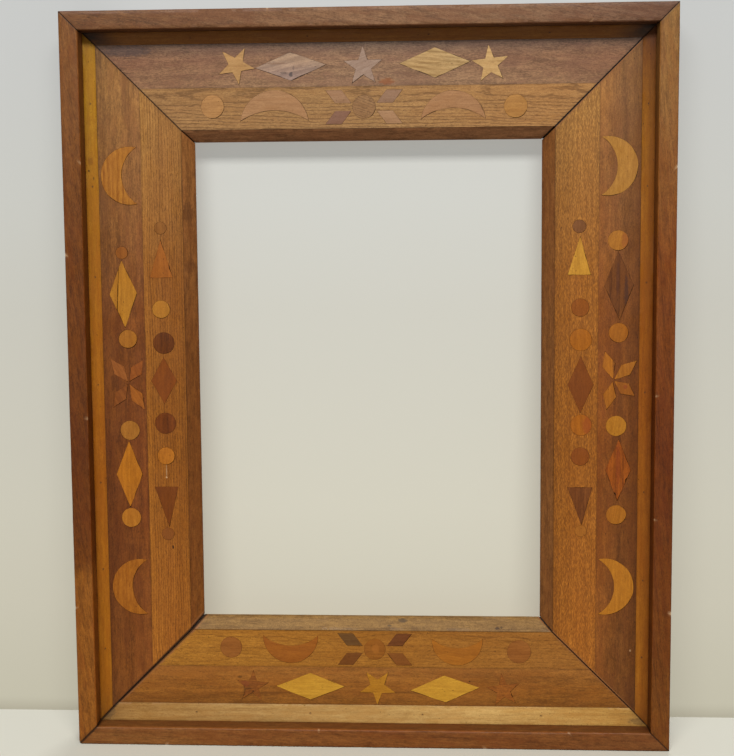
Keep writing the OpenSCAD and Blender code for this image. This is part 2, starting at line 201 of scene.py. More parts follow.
def cloud(place, scale, detail=2.0, rough=0.5):
    """Noise with its own scale along, across and in depth, in millimetres a lump."""
    tree, ins = tree_of(place), {0: place, 1: [1 / v for v in scale]}
    ins = {"Vector": put(tree, "ShaderNodeVectorMath", ins, operation="MULTIPLY"), "Scale": 1.0}
    return put(tree, "ShaderNodeTexNoise", {**ins, "Detail": detail, "Roughness": rough})


def group_with(name, tree_kind, ins, outs):
    """A node group with inputs {name: (kind, value or None)} and outputs {name: kind}, and the
    readings of its inputs by name."""
    tree = bpy.data.node_groups.new(name, tree_kind)
    for key, (kind, value) in ins.items():
        socket = tree.interface.new_socket(key, in_out="INPUT", socket_type="NodeSocket" + kind)
        if value is not None:
            socket.default_value = value
    for key, kind in outs.items():
        tree.interface.new_socket(key, in_out="OUTPUT", socket_type="NodeSocket" + kind)
    inside = tree.nodes.new("NodeGroupInput").outputs
    return tree, {key: Reading(inside[key]) for key in ins}


def bare_material(name):
    """A material with nothing in it yet, and its node tree."""
    material = bpy.data.materials.new(name)
    material.use_nodes = True
    material.node_tree.nodes.clear()
    return material, material.node_tree


def end_material(tree, bumps, strength, distance, ins):
    """Ends a tree with a shader whose surface is bumped by up to a distance in millimetres."""
    bumps = {"Height": bumps, "Strength": strength, "Distance": distance * MM}
    ins = {"Normal": put(tree, "ShaderNodeBump", bumps), **ins}
    put(tree, "ShaderNodeOutputMaterial", {0: put(tree, "ShaderNodeBsdfPrincipled", ins)})


# The woods


SHADES = ("pale", "dark", "blush", "pore_colour")
# Close-grained wood. The four shades are shares of a board's own colour, lengths are in
# millimetres, and the rest says how strongly each part of the figure shows
CLOSE = {
    "pale": (1.18, 1.20, 1.24), "dark": (0.76, 0.71, 0.66), "blush": (0.94, 0.84, 0.76),
    "pore_colour": (0.48, 0.4, 0.36), "ring": 2.6, "rings": 0.25, "rows": 0, "wobble": 6, "pith_across": 90,
    "pith_depth": 50, "taper": 0, "streak": 0.35, "mottle": 0.35, "grain": 0.4, "fibre": 0.2, "speckle": 0.4,
    "blushing": 0.35, "pore_length": 3, "pore_width": 0.45, "pore_amount": 0.4, "pore_share": 0.45,
    "pores_in_rings": 0.4, "fleck": 0.25,
}
STRIPED = dict(CLOSE, dark=(0.62, 0.50, 0.42), ring=3, rings=0.8, wobble=3, streak=0.25)
VEINED = dict(CLOSE, pale=(1.3, 1.26, 1.2), dark=(0.56, 0.50, 0.52), ring=4.5, rings=0.5, streak=0.6,
              wobble=9, fleck=0.35)
RIM = dict(
    CLOSE, pale=(1.40, 1.40, 1.42), dark=(0.60, 0.54, 0.52), blush=(0.98, 0.74, 0.66),
    pore_colour=(0.42, 0.36, 0.36), ring=3.4, rings=0.2, wobble=12, pith_across=40, pith_depth=34,
    mottle=0.45, speckle=0.5, blushing=0.5, pore_length=3.5, pore_width=0.5, pore_amount=0.5, pore_share=0.5,
    pores_in_rings=0.3, fleck=0.35)
SLIP = dict(
    CLOSE, pale=(1.20, 1.24, 1.35), dark=(0.76, 0.70, 0.64), blush=(0.92, 0.78, 0.62),
    pore_colour=(0.45, 0.36, 0.3), ring=4, pith_across=60, pith_depth=40, streak=0.4, grain=0.35, fibre=0.15,
    speckle=0.45, blushing=0.55, pore_amount=0.3, pore_share=0.4, pores_in_rings=0.2)
WALNUT = dict(
    CLOSE, pale=(1.36, 1.38, 1.40), dark=(0.60, 0.57, 0.60), blush=(0.86, 0.74, 0.86),
    pore_colour=(0.40, 0.36, 0.38), ring=6, rings=0.3, wobble=14, pith_across=70, pith_depth=90, streak=0.45,
    mottle=0.45, grain=0.42, speckle=0.55, blushing=0.5, pore_length=4, pore_width=0.5, pore_amount=0.5,
    pore_share=0.55, pores_in_rings=0.2, fleck=0.4)
OAK = dict(
    CLOSE, pale=(1.30, 1.31, 1.34), dark=(0.66, 0.60, 0.54), blush=(0.92, 0.80, 0.74),
    pore_colour=(0.36, 0.3, 0.28), ring=2.4, rings=0.1, rows=0.3, wobble=8, pith_across=-60, pith_depth=20,
    streak=0.3, mottle=0.25, grain=0.35, fibre=0.25, speckle=0.5, pore_length=4.5, pore_width=0.6,
    pore_amount=1, pore_share=0.6, pores_in_rings=0.6, fleck=0.4)
SIGHT = dict(RIM, mottle=0.5, blushing=0.3)


def board(kind, colour, *tints, **changes):
    """What one board is cut from: its kind's figure with some changes, the board's own colour,
    and the tints by which that colour drifts over the board."""
    figure = {**kind, **changes}
    for key in SHADES:
        figure[key] = (*figure[key], 1.0)
    return figure, srgb(*colour), tints


def make_wood_figure():
    """Growth rings, streaks, fibres and pores of any of the woods, grain along the first axis.

    The colour that comes out is a share of the board's own colour. Away moves the noise, not
    the rings, so that each board has its own figure round the pith that its recipe gives."""
    ins = {"place": ("Vector", (0, 0, 0)), "away": ("Vector", (0, 0, 0)), "strength": ("Float", 1.0)}
    for key, value in board(CLOSE, (255, 255, 255))[0].items():
        ins[key] = ("Color" if key in SHADES else "Float", value)
    outs = {"Color": "Color", "Height": "Float", "Pores": "Float"}
    tree, i = group_with("wood_figure", "ShaderNodeTree", ins, outs)
    along, across, depth = put(tree, "ShaderNodeSeparateXYZ", {0: i["place"]}).parts()
    place = put(tree, "ShaderNodeVectorMath", {0: i["place"], 1: i["away"]}, operation="ADD")

    def swing(scale, detail=2.0, rough=0.5):
        return cloud(place, scale, detail, rough) - 0.5

    # Rings round a pith that runs along the board, each year of its own width of dark wood
    waver = swing((34, 10, 10)) * 0.3 + swing((110, 26, 26))
    side = across - i["pith_across"]
    deep = along * i["taper"] + (depth - i["pith_depth"])
    radius = calc("SQRT", side * side + deep * deep)
    count = (radius + waver * i["wobble"]) / i["ring"]
    phase = calc("FRACT", count)
    year = put(tree, "ShaderNodeTexWhiteNoise", {"W": calc("FLOOR", count)}, noise_dimensions="1D")
    late = span(phase, 0.25, 0.86) * span(phase, 1.0, 0.9)
    ring = late * (year * 0.7 + 0.3)
    row = calc("MAXIMUM", span(phase, 0.38, 0.1), span(phase, 0.9, 1.0)) * (year * 0.5 + 0.5)

    # Colour: rings, streaks, mottle, grain and fibres between the pale and the dark shade
    shade = (ring * i["rings"] + row * i["rows"]) * i["strength"]
    grain, fibre = swing((17, 1.5, 1.5), 2.0, 0.6), swing((26, 0.5, 0.5), 1.0)
    layers = {"streak": swing((150, 5.5, 5.5), 3.0, 0.6), "mottle": swing((12, 4.0, 4.0), 3.0, 0.65),
              "grain": grain, "fibre": fibre, "speckle": swing((3.0, 0.9, 0.9), 2.0, 0.7)}
    for share, layer in layers.items():
        shade = layer * (i[share] * 3.0) + shade
    colour = blend(calc("ADD", shade, 0.4, clamp=True), i["pale"], i["dark"])
    flush = cloud(place, (60, 16, 20), 3.0, 0.6) + swing((14, 3, 3)) * 0.6
    colour = blend(span(flush, 0.38, 0.68) * i["blushing"], colour, i["blush"])

    # Pores: long dashes that gather in the early wood, and short flecks all over
    def dashes(length_share, width_share):
        wide = i["pore_width"] * width_share
        x, y, z = put(tree, "ShaderNodeSeparateXYZ", {0: place}).parts()
        thin = {0: x / (i["pore_length"] * length_share), 1: y / wide, 2: z / wide}
        thin = put(tree, "ShaderNodeCombineXYZ", thin)
        return put(tree, "ShaderNodeTexNoise", {"Vector": thin, "Scale": 1.0, "Detail": 1.0})

    allowed = row * i["pores_in_rings"] + (1.0 - i["pores_in_rings"])
    limit = 0.82 - i["pore_amount"] * allowed * 0.5
    pores = span(dashes(1.0, 1.0), limit, limit + 0.12, way="LINEAR") * (i["pore_share"] * i["strength"])
    flecks = span(dashes(0.24, 1.3), 0.52, 0.7) * i["fleck"]
    pores = calc("MAXIMUM", pores, flecks, clamp=True)
    height = grain * -0.4 + (fibre * 0.5 + ring * 0.12) - pores * 1.1
    colour = blend(pores, colour, i["pore_colour"])
    put(tree, "NodeGroupOutput", {"Color": colour, "Height": height, "Pores": pores})
    return tree


WOOD_FIGURE = make_wood_figure()


# Colours that change over a board. A tint is a list of steps (start, red, green, blue), in
# shares of the colour under it


def stepped(value, steps, smooth=False):
    """A colour that changes along a value, at once or smoothly."""
    low, high = steps[0][0] - 1.0, steps[-1][0] + 1.0
    ramp = put(tree_of(value), "ShaderNodeValToRGB", {0: span(value, low, high, way="LINEAR")})
    colours = ramp.socket.node.color_ramp
    colours.interpolation = "LINEAR" if smooth else "CONSTANT"
    while len(colours.elements) < len(steps):
        colours.elements.new(1.0)
    for stop, (start, *colour) in zip(colours.elements, steps):
        stop.position = (start - low) / (high - low)
        stop.color = (*colour, 1.0)
    return ramp


def drifting(*steps):
    """Tints that change smoothly along the rail."""
    return lambda at: stepped(at.along, steps, smooth=True)


def crosswise(*steps):
    """Tints that change smoothly across the rail."""
    return lambda at: stepped(at.across, steps, smooth=True)


def in_turn(*steps):
    """Tints that change from one piece to the next along the rail."""
    return lambda at: stepped(at.along, steps)


def by_quarter(middle, first_row, second_row):
    """Tints for four pieces round a middle (along, across): the row at the lower along reading,
    then the higher; each row is (lower across, higher across)."""
    def tints(at):
        first, second = (stepped(at.across, ((middle[1] - 99, *near), (middle[1], *far)))
                         for near, far in (first_row, second_row))
        return blend(calc("GREATER_THAN", at.along, middle[0]), first, second)
    return tints


# A place on a rail in millimetres, as readings
Place = namedtuple("Place", "point along across depth")


def rail_place(tree, side):
    a, a0, c, c0 = RAIL_AXES[side]
    here = put(tree, "ShaderNodeTexCoord").other("Object")
    ways = []
    for axis, zero in ((a, a0), (c, c0), ((0, 1, 0), 0.0)):
        ins = {0: here, 1: tuple(v / MM for v in axis)}
        ways.append(put(tree, "ShaderNodeVectorMath", ins, operation="DOT_PRODUCT").other("Value") + zero)
    return Place(put(tree, "ShaderNodeCombineXYZ", dict(enumerate(ways))), *ways)


# Tones of grime and wear, and of painted shade, as a screen shows them
DIRT_AND_SHADE = (34, 19, 9)
CORNER_GREY = (36, 33, 34)
RUBBED = (152, 98, 56)
BARE = (196, 158, 116)
AGED = (150, 118, 84)
OLD_STAIN = (92, 62, 38)
# The two corners at a rail's low and high end
CORNERS = {"top": ("top left", "top right"), "bottom": ("bottom left", "bottom right"),
           "left": ("bottom left", "top left"), "right": ("bottom right", "top right")}
# Half width of the grime along each mitre, at the frame's outer corner and at the opening
MITRE_GRIME = {"top left": (0.5, 0.55), "top right": (0.5, 1.0),
               "bottom left": (1.3, 2.3), "bottom right": (0.5, 0.6)}


def marked(colour, at, marks):
    """The colour with its ragged oval marks: (along, across, half length, half width, tone, share)."""
    ragged = (cloud(at.point, (2.6, 1.6, 1.6)) - 0.5) * 2.4
    for along, across, half_length, half_width, tone, share in marks:
        u, v = (at.along - along) / half_length, (at.across - across) / half_width
        colour = stained(colour, span(u * u + v * v + ragged, 1.4, 0.4) * share, tone)
    return colour


def grimed_and_highlit(colour, at, side, edges, joint, corner_dust, eased_mitre):
    """The colour with a dark line along the mitres, a patchy one in the joints, a soft one
    beside them, specks, a grey darkening near the rim at the corners, and a pale painted
    highlight along some eased mitre edges."""
    mitre = (HALF_LENGTH[side] - (at.across + calc("ABSOLUTE", at.along))) * math.sqrt(0.5)
    patchy = cloud(at.point, (14, 6, 6), 3.0)
    low_end, high_end = (span(at.across, 20.0, 110.0, *MITRE_GRIME[corner]) for corner in CORNERS[side])
    half_line = calc("GREATER_THAN", at.along, 0.0) * (high_end - low_end) + low_end
    # A pale painted highlight along the eased mitre edge, in the tone of rubbed wood
    if eased_mitre:
        painted_highlight = span(mitre - half_line, 1.5, 0.7) * span(patchy, 0.35, 0.6, 0.3, eased_mitre)
        colour = stained(colour, painted_highlight, RUBBED)
    line = span(mitre, half_line + 0.45, half_line * 0.5)
    soft = span(mitre, 5.0, 0.0, 0.0, 0.25)
    along_joint = cloud(at.point, (40, 30, 30), 3.0, 0.6)
    for edge in edges:
        off = calc("ABSOLUTE", at.across - edge)
        line = calc("MAXIMUM", line, span(off, 0.6, 0.1) * span(along_joint, 0.32, 0.62, 0.2, joint))
        soft = calc("MAXIMUM", soft, span(off, 2.5, 0.0, 0.0, 0.2))
    grime = calc("MAXIMUM", line, soft * span(patchy, 0.3, 0.65, 0.3, 1.0))
    colour = stained(colour, grime * 0.85, DIRT_AND_SHADE)
    # A grey darkening near the rim at each corner, strongest on the top slip
    if corner_dust:
        near = span(mitre, 26.0, 0.0) * span(at.across, RIM_W + 26, RIM_W + 2)
        colour = stained(colour, near * span(patchy, 0.2, 0.5, 0.6, 1.0) * corner_dust, CORNER_GREY)
    return stained(colour, span(cloud(at.point, (1.6, 1.3, 1.3), 0.0), 0.79, 0.86, 0.0, 0.6), DIRT_AND_SHADE)


def worn_and_shaded(colour, at):
    """The colour with what the meshes carry: the wear of rubbed arrises and nicks, an inlay's
    dark edge, which is partly old glue and partly painted shade, and a darkened inner wall
    of a rim."""
    def carried(key):
        return put(tree_of(colour), "ShaderNodeAttribute", attribute_name=key).other("Fac")

    rubbed = carried("rub") * span(cloud(at.point, (9, 3, 3), 3.0), 0.42, 0.66, 0.1, 1.0)
    for share, tone in ((rubbed * 0.32, RUBBED), (carried("scar"), BARE),
                        (carried("glue_and_shade_edge") * 0.6, DIRT_AND_SHADE), (carried("recess") * 0.45, DIRT_AND_SHADE)):
        colour = stained(colour, share, tone)
    return colour


def wood(node, seed, edges=(), marks=(), joint=0.5, corner_dust=0.0, eased_mitre=0.0, finished_to=16.0):
    """The material of a node's boards: their figure, their finish, the grime in their joints,
    and a painted highlight along some mitres.

    edges are the distances across the rail at which the board meets a neighbour and joint is
    how dark those joints are. finished_to is the depth behind which the wood is raw."""
    material, tree = bare_material(node + "_wood")
    side = side_of(node)
    at = rail_place(tree, side)
    figure, own_colour, tints = WOODS[node]
    rng = random.Random(seed)
    away = [rng.uniform(-reach, reach) for reach in (900, 90, 90)]
    turned = {"Vector": at.point, "Rotation": (0, 0, math.radians(GRAIN_TURN.get(node, 0)))}
    turned = put(tree, "ShaderNodeMapping", turned)
    ins = {"place": turned, "away": away, **figure}
    if node in STRENGTH:
        ins["strength"] = span(at.along, *STRENGTH[node])
    figure = put(tree, "ShaderNodeGroup", ins, node_tree=WOOD_FIGURE)
    colour = blend(1.0, figure, own_colour, "MULTIPLY")
    for tint in tints:
        colour = blend(1.0, colour, tint(at), "MULTIPLY")
    colour = marked(colour, at, [*marks, *MARKS.get(node, ())])
    colour = worn_and_shaded(grimed_and_highlit(colour, at, side, edges, joint, corner_dust, eased_mitre), at)

    # The back was never finished: paler, greyer and rougher, with saw marks and stains
    raw = span(at.depth, finished_to, finished_to + 0.5)
    saw = {"Vector": turned, "Scale": 0.3, "Distortion": 2.5, "Detail": 3.0, "Detail Scale": 0.4}
    saw = put(tree, "ShaderNodeTexWave", saw, bands_direction="X").other(1)
    bare = stained(stained(colour, 0.4, AGED), saw * 0.22, DIRT_AND_SHADE)
    bare = stained(bare, span(cloud(at.point, (130, 16, 16), 4.0, 0.6), 0.42, 0.7, 0.0, 0.35), OLD_STAIN)
    swell = cloud(at.point, (45, 9, 9), 1.0) * 2.2
    bumps = raw * saw * 0.8 + figure.other("Height") + swell
    hazy = span(cloud(at.point, (24, 12, 12), 3.0), 0.3, 0.7, 0.38, 0.54)
    roughness = calc("ADD", raw * 0.28, figure.other("Pores") * 0.15 + hazy, clamp=True)
    end_material(tree, bumps, 0.6, 0.09, {
        "Base Color": blend(raw, colour, bare), "Roughness": roughness, "Specular IOR Level": 0.22})
    return material


def lumpy(name, scale, first, second, limits, bump, rough, metallic=0.0):
    """A material of two tones in small lumps; bump is (strength, distance in millimetres)."""
    material, tree = bare_material(name)
    here = put(tree, "ShaderNodeTexCoord").other("Object")
    lumps = put(tree, "ShaderNodeTexNoise", {"Vector": here, "Scale": scale, "Detail": 3.0})
    end_material(tree, lumps, *bump, {
        "Base Color": blend(span(lumps, *limits), srgb(*first), srgb(*second)),
        "Roughness": span(lumps, 0.3, 0.7, *rough), "Metallic": metallic})
    return material


def dark_steel():
    """Nail heads: dull iron with brown rust."""
    return lumpy("dark_steel", 900, (58, 50, 46), (84, 48, 26), (0.4, 0.65), (0.5, 0.1), (0.45, 0.75), 0.6)


def old_glue():
    """Dark hide glue with dust on it."""
    return lumpy("old_glue", 500, (22, 13, 8), (48, 34, 24), (0.4, 0.68), (0.6, 0.15), (0.6, 0.6))


# Pieces


def placed(name, data):
    """A new object in the scene."""
    thing = bpy.data.objects.new(name, data)
    bpy.context.scene.collection.objects.link(thing)
    return thing


def dress(mesh, material):
    """Gives a mesh its material."""
    mesh.materials.clear()
    mesh.materials.append(material)


def new_piece(name, mesh, node, material):
    """A finished piece that stands for a CAD node."""
    dress(mesh, material)
    piece = placed(name, mesh)
    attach(piece, "root")
    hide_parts(node)


def smoothed(mesh):
    """The mesh with smooth faces and sharp arrises."""
    mesh.shade_smooth()
    mesh.set_sharp_from_angle(angle=math.radians(38))
    return mesh


def as_mesh(thing):
    """The plain mesh that an object's modifiers make of it; the object is used up."""
    bpy.context.view_layer.update()
    made = bpy.data.meshes.new_from_object(thing.evaluated_get(bpy.context.evaluated_depsgraph_get()))
    thing.modifiers.clear()
    bpy.data.objects.remove(thing)
    return made


def closed_mesh(name, vertices, faces, carried=()):
    """A closed mesh with outward faces; carried is (attribute name, value of each vertex)."""
    mesh = bpy.data.meshes.new(name)
    mesh.from_pydata(vertices, [], faces)
    for key, values in carried:
        mesh.attributes.new(key, "FLOAT", "POINT").data.foreach_set("value", values)
    made = bmesh.new()
    made.from_mesh(mesh)
    bmesh.ops.recalc_face_normals(made, faces=made.faces)
    made.to_mesh(mesh)
    made.free()
    return smoothed(mesh)


def tube_faces(rows, count):
    """Faces of a closed tube of rows of count points, with both ends capped."""
    faces = []
    for start in range(0, (rows - 1) * count, count):
        for k in range(count):
            k2 = (k + 1) % count
            faces.append((start + k, start + k2, start + count + k2, start + count + k))
    faces.append(tuple(range(count)))
    faces.append(tuple((rows - 1) * count + k for k in range(count)))
    return faces


# Strips that are modelled anew, with worn arrises


def eased_section(corners, step):
    """Rounds a strip's section. Corners are (depth, across, radius); each point comes back as
    (depth, across, outward in depth, outward across, share of rubbing, number of its corner)."""
    count = len(corners)
    middle = np.mean([c[:2] for c in corners], axis=0)
    arcs = []
    for n, (y, d, r) in enumerate(corners):
        here = np.array([y, d])
        a = unit(np.array(corners[n - 1][:2]) - here)
        b = unit(np.array(corners[(n + 1) % count][:2]) - here)
        half = math.acos(float(np.clip(a @ b, -1, 1))) / 2
        centre = here + unit(a + b) * r / math.sin(half)
        first = here + a * r / math.tan(half) - centre
        last = here + b * r / math.tan(half) - centre
        start, turn = math.atan2(first[1], first[0]), math.atan2(last[1], last[0])
        turn = (turn - start + math.pi) % (2 * math.pi) - math.pi
        arcs.append((centre, r, start, turn))
    steps = 5
    points = []
    for n, (centre, r, start, turn) in enumerate(arcs):
        for k in range(steps + 1):
            q = start + turn * k / steps
            out = np.array([math.cos(q), math.sin(q)])
            points.append((*(centre + r * out), *out, math.sin(math.pi * (k + 0.6) / (steps + 1.2)), n))
        end = centre + r * out
        next_centre, next_r, q, _ = arcs[(n + 1) % count]
        begin = next_centre + next_r * np.array([math.cos(q), math.sin(q)])
        way = begin - end
        normal = unit(np.array([way[1], -way[0]]))
        if normal @ ((begin + end) / 2 - middle) < 0:
            normal = -normal
        parts = max(1, int(np.linalg.norm(way) / step))
        for k in range(1, parts):
            points.append((*(end + way * k / parts), *normal, 0.0, n))
    return points


# Wear of the strips in millimetres: long and short waves of rubbing along an arris, how far the
# plane wandered, and how far the front is rounded over towards a mitre and over what length
LONG_WAVE, SHORT_WAVE, PLANING, MITRE_ROUNDING, ROUNDED_OVER = 38, 7, 0.05, 0.3, 0.9


def planed_strip(
        node, corners, wear, seed, pitch, scars=(), end_rounding=(0.6, 0.6), recess_from=math.inf):
    """A mitred strip in a CAD node's place. Its arrises are rubbed by up to wear, each scar
    (along, corner number, half length, depth) is a nick in one arris, end_rounding is the
    radius of the frame's corner at either end, and faces past recess_from are in a recess."""
    side, (low, high) = side_of(node), rail_reach(node)
    section = eased_section(corners, 3.0)
    length = high[0] - low[0]
    ends_eased = (0.0, 0.25, 0.7)
    inner = np.linspace(1.6, length - 1.6, max(2, int(length / pitch)))
    stations = [*ends_eased, *inner, *[length - v for v in reversed(ends_eased)]]
    vertices, rubs, nicks, recesses = [], [], [], []
    for station in stations:
        easing = MITRE_ROUNDING * max(0.0, 1 - min(station, length - station) / ROUNDED_OVER) ** 2
        for y, d, out_y, out_d, rub, corner in section:
            inset = d - low[1]
            along = low[0] + inset + (length - 2 * inset) * station / length
            rubbed = nick = 0.0
            if rub > 0:
                slow = noise.noise(Vector((along / LONG_WAVE, corner * 7.1 + seed, 0.3)))
                quick = noise.noise(Vector((along / SHORT_WAVE, corner * 3.3 + seed, 5.1)))
                rubbed = wear * rub * max(0.0, 0.45 + 0.6 * slow + 0.35 * quick)
            for where, at_corner, half, deep in scars:
                if at_corner == corner and abs(along - where) < half:
                    nick = max(nick, deep * (1 - ((along - where) / half) ** 2) ** 1.5 * rub)
            planing = PLANING * noise.noise(Vector((along / 60, d / 9, y / 9 + seed)))
            push = rubbed + nick + planing * (1 - rub) + easing * (out_y < -0.3)
            y_now, d_now = y - out_y * push, d - out_d * push
            radius = end_rounding[int(station > length / 2)]
            u = HALF_LENGTH[side] - abs(along)
            if u < radius and d_now < radius:
                far = math.hypot(radius - u, radius - d_now)
                if far > radius:
                    u = radius - (radius - u) * radius / far
                    d_now = radius - (radius - d_now) * radius / far
                    along = math.copysign(HALF_LENGTH[side] - u, along)
            vertices.append(rail_point(side, along, d_now, y_now))
            rubs.append(rub * min(1.0, 0.35 + rubbed / max(wear, 0.01)))
            nicks.append(min(1.0, nick / 0.35))
            recesses.append(1.0 if d > recess_from and out_d > 0.5 and y > RIM_FACE + 1.2 else 0.0)
    faces = tube_faces(len(stations), len(section))
    carried = zip(("rub", "scar", "recess"), (rubs, nicks, recesses))
    return closed_mesh(node + "_worn", vertices, faces, carried)


# The woods of the boards, each with the drift of its colour over the rail. The top rail's greyer colours,
# and the drifts that turn paler and bluer towards the top of the side rails, are painted sheen


STRIP_WOODS = {
    # Greyer than the bottom rim: painted sheen
    "top_rim": board(RIM, (121, 90, 65), drifting(
        (-280, 0.75, 0.6, 0.4), (0, 1.05, 1, 0.9), (120, 1, 1, 0.95), (220, 0.85, 0.8, 0.8),
        (280, 0.65, 0.6, 0.6)),
        # The step at the inner wall is painted light on that wall
        crosswise((0.1, 0.75, 0.65, 0.55), (0.7, 1, 1, 1), (16.9, 1, 1, 1), (17.4, 1.1, 0.95, 0.9)),
        speckle=0.7, mottle=0.6),
    "bottom_rim": board(RIM, (120, 73, 32),
        drifting((-280, 1.1, 1.25, 1.35), (0, 1, 0.95, 0.85), (280, 0.85, 0.85, 0.95)),
        # Darker at the foot: painted contact shadow. The step at the inner wall is painted light on that
        # wall
        crosswise((0.2, 0.4, 0.4, 0.4), (1.5, 1, 1, 1), (16.9, 1, 1, 1), (17.4, 1.25, 1.2, 1))),
    # Paler and bluer towards the top: painted sheen
    "left_rim": board(RIM, (111, 66, 25), drifting(
        (-350, 1.5, 1.5, 1), (-184, 1.45, 1.45, 0.95), (-168, 0.85, 0.7, 0.4), (-60, 0.7, 0.55, 0.35),
        (120, 0.85, 0.75, 0.6), (350, 1.15, 1.35, 1.9)),
        # The step at the inner wall is painted light on that wall
        crosswise((16.9, 1, 1, 1), (17.4, 1.6, 1.5, 1.5))),
    # Paler and bluer towards the top: painted sheen
    "right_rim": board(RIM, (111, 65, 24), drifting(
        (-350, 1, 1, 0.7), (-60, 0.75, 0.5, 0.3), (120, 1.1, 0.95, 0.75), (350, 1.55, 2.4, 3.6)),
        # The step at the inner wall is painted light on that wall
        crosswise((16.9, 1, 1, 1), (17.4, 1.5, 1.5, 1.5))),
    # Darker than the other slips: painted shadow of the top rim
    "top_light_slip": board(SLIP, (127, 79, 28)),
    "bottom_light_slip": board(SLIP, (181, 142, 82), drifting(
        (-270, 0.7, 0.6, 0.45), (-100, 0.9, 0.9, 0.9), (100, 1.15, 1.2, 1.2), (270, 0.95, 0.85, 0.55)),
        fleck=0.35, streak=0.5),
    # Paler and bluer towards the top: painted sheen
    "left_light_slip": board(SLIP, (160, 97, 14), drifting(
        (-330, 1, 1.05, 1.1), (-60, 1, 0.9, 0.9), (120, 1.05, 1.15, 1.25), (330, 1.2, 1.8, 2.2))),
    "right_light_slip": board(SLIP, (140, 77, 10), drifting(
        (-330, 1.1, 1.3, 2.1), (0, 0.95, 0.9, 0.85), (230, 1, 1.25, 1.2), (330, 0.5, 0.5, 0.65)),
        crosswise((18, 0.85, 0.8, 0.75), (28, 1.15, 1.2, 1.15))),
    # Greyer than the bottom band: painted sheen
    "top_walnut_band": board(WALNUT, (134, 100, 74),
        drifting((-240, 0.95, 0.9, 0.8), (0, 1.05, 1.15, 1.15), (240, 0.9, 0.85, 0.75)),
        # Darker along its outer edge: painted shadow of the top rim
        crosswise((30, 0.55, 0.6, 0.75), (44, 1.05, 1, 1), (68, 1.15, 1.15, 1.1)),
        speckle=0.8, mottle=0.55, grain=0.2, streak=0.35),
    "bottom_walnut_band": board(WALNUT, (144, 90, 33),
        crosswise((36, 0.8, 0.8, 0.75), (54, 1.05, 1.05, 1), (70, 1.05, 1.1, 1.3)),
        blush=(0.98, 0.86, 0.8), grain=0.25, fibre=0.1),
    # Paler and bluer towards the top: painted sheen
    "left_walnut_band": board(WALNUT, (120, 71, 28),
        drifting((-350, 1.1, 1.05, 0.85), (-120, 0.85, 0.7, 0.6), (60, 1, 0.9, 0.8), (300, 1.6, 2.25, 3.3)),
        crosswise((31, 0.8, 0.8, 0.8), (48, 1, 1, 1), (68, 1.1, 1.1, 1.2))),
    # Paler and bluer towards the top: painted sheen
    "right_walnut_band": board(WALNUT, (124, 74, 29),
        drifting((-350, 0.95, 1, 1), (-60, 0.95, 0.85, 0.65), (80, 1, 0.95, 0.9), (300, 1.35, 1.85, 2.95)),
        crosswise((31, 0.7, 0.65, 0.6), (46, 0.9, 0.9, 1), (67, 1.3, 1.25, 1.15)),
        streak=0.3, grain=0.25, fibre=0.1),
    # Greyer than the bottom band: painted sheen
    "top_oak_band": board(OAK, (156, 116, 70),
        drifting((-160, 0.95, 0.95, 0.95), (0, 1, 1.05, 1.1), (160, 1.1, 1.05, 0.95)),
        pith_across=74, pith_depth=16, taper=0.03),
    "bottom_oak_band": board(OAK, (155, 102, 38),
        drifting((-165, 1.1, 1.15, 1), (0, 1, 1, 0.9), (165, 0.95, 0.95, 1.1)),
        pith_across=140, pith_depth=40, ring=3, wobble=12, rows=0.15, pore_amount=0.8),
    # Paler and bluer towards the top: painted sheen
    "left_oak_band": board(OAK, (149, 92, 32),
        drifting((-300, 1.2, 1.15, 1.05), (-60, 0.9, 0.85, 0.65), (100, 0.9, 0.9, 0.95),
                 (250, 1.15, 1.5, 2.65)),
        crosswise((70, 1.1, 1.15, 1.15), (90, 0.95, 0.95, 1), (109, 0.9, 0.9, 0.85))),
    # Paler and bluer towards the top: painted sheen
    "right_oak_band": board(OAK, (161, 101, 35),
        drifting((-300, 1.15, 1.1, 1.05), (-60, 0.95, 0.9, 0.75), (100, 1, 1, 1), (250, 1.1, 1.45, 2.6)),
        crosswise((70, 1.05, 1.05, 1.1), (90, 1.05, 1.05, 1.05), (109, 0.85, 0.85, 0.8)),
        pith_across=50, pith_depth=60, pore_length=3.5, pore_amount=0.95, pores_in_rings=0.2, rows=0.1),
    # Paler and greyer than the other sight slips: painted light on its downward-facing bevel
    "top_sight_slip": board(SIGHT, (132, 90, 56)),
    # Its pale grey is painted sheen on the upward-facing bevel
    "bottom_sight_slip": board(SIGHT, (136, 103, 56), blush=(0.9, 0.9, 1.05), fleck=0.6),
    # Paler and bluer towards the top: painted sheen
    "left_sight_slip": board(SIGHT, (124, 73, 29),
        drifting((-230, 1, 1, 0.9), (0, 0.85, 0.85, 0.75), (230, 1.2, 1.45, 1.95))),
    "right_sight_slip": board(SIGHT, (122, 77, 36)),
}

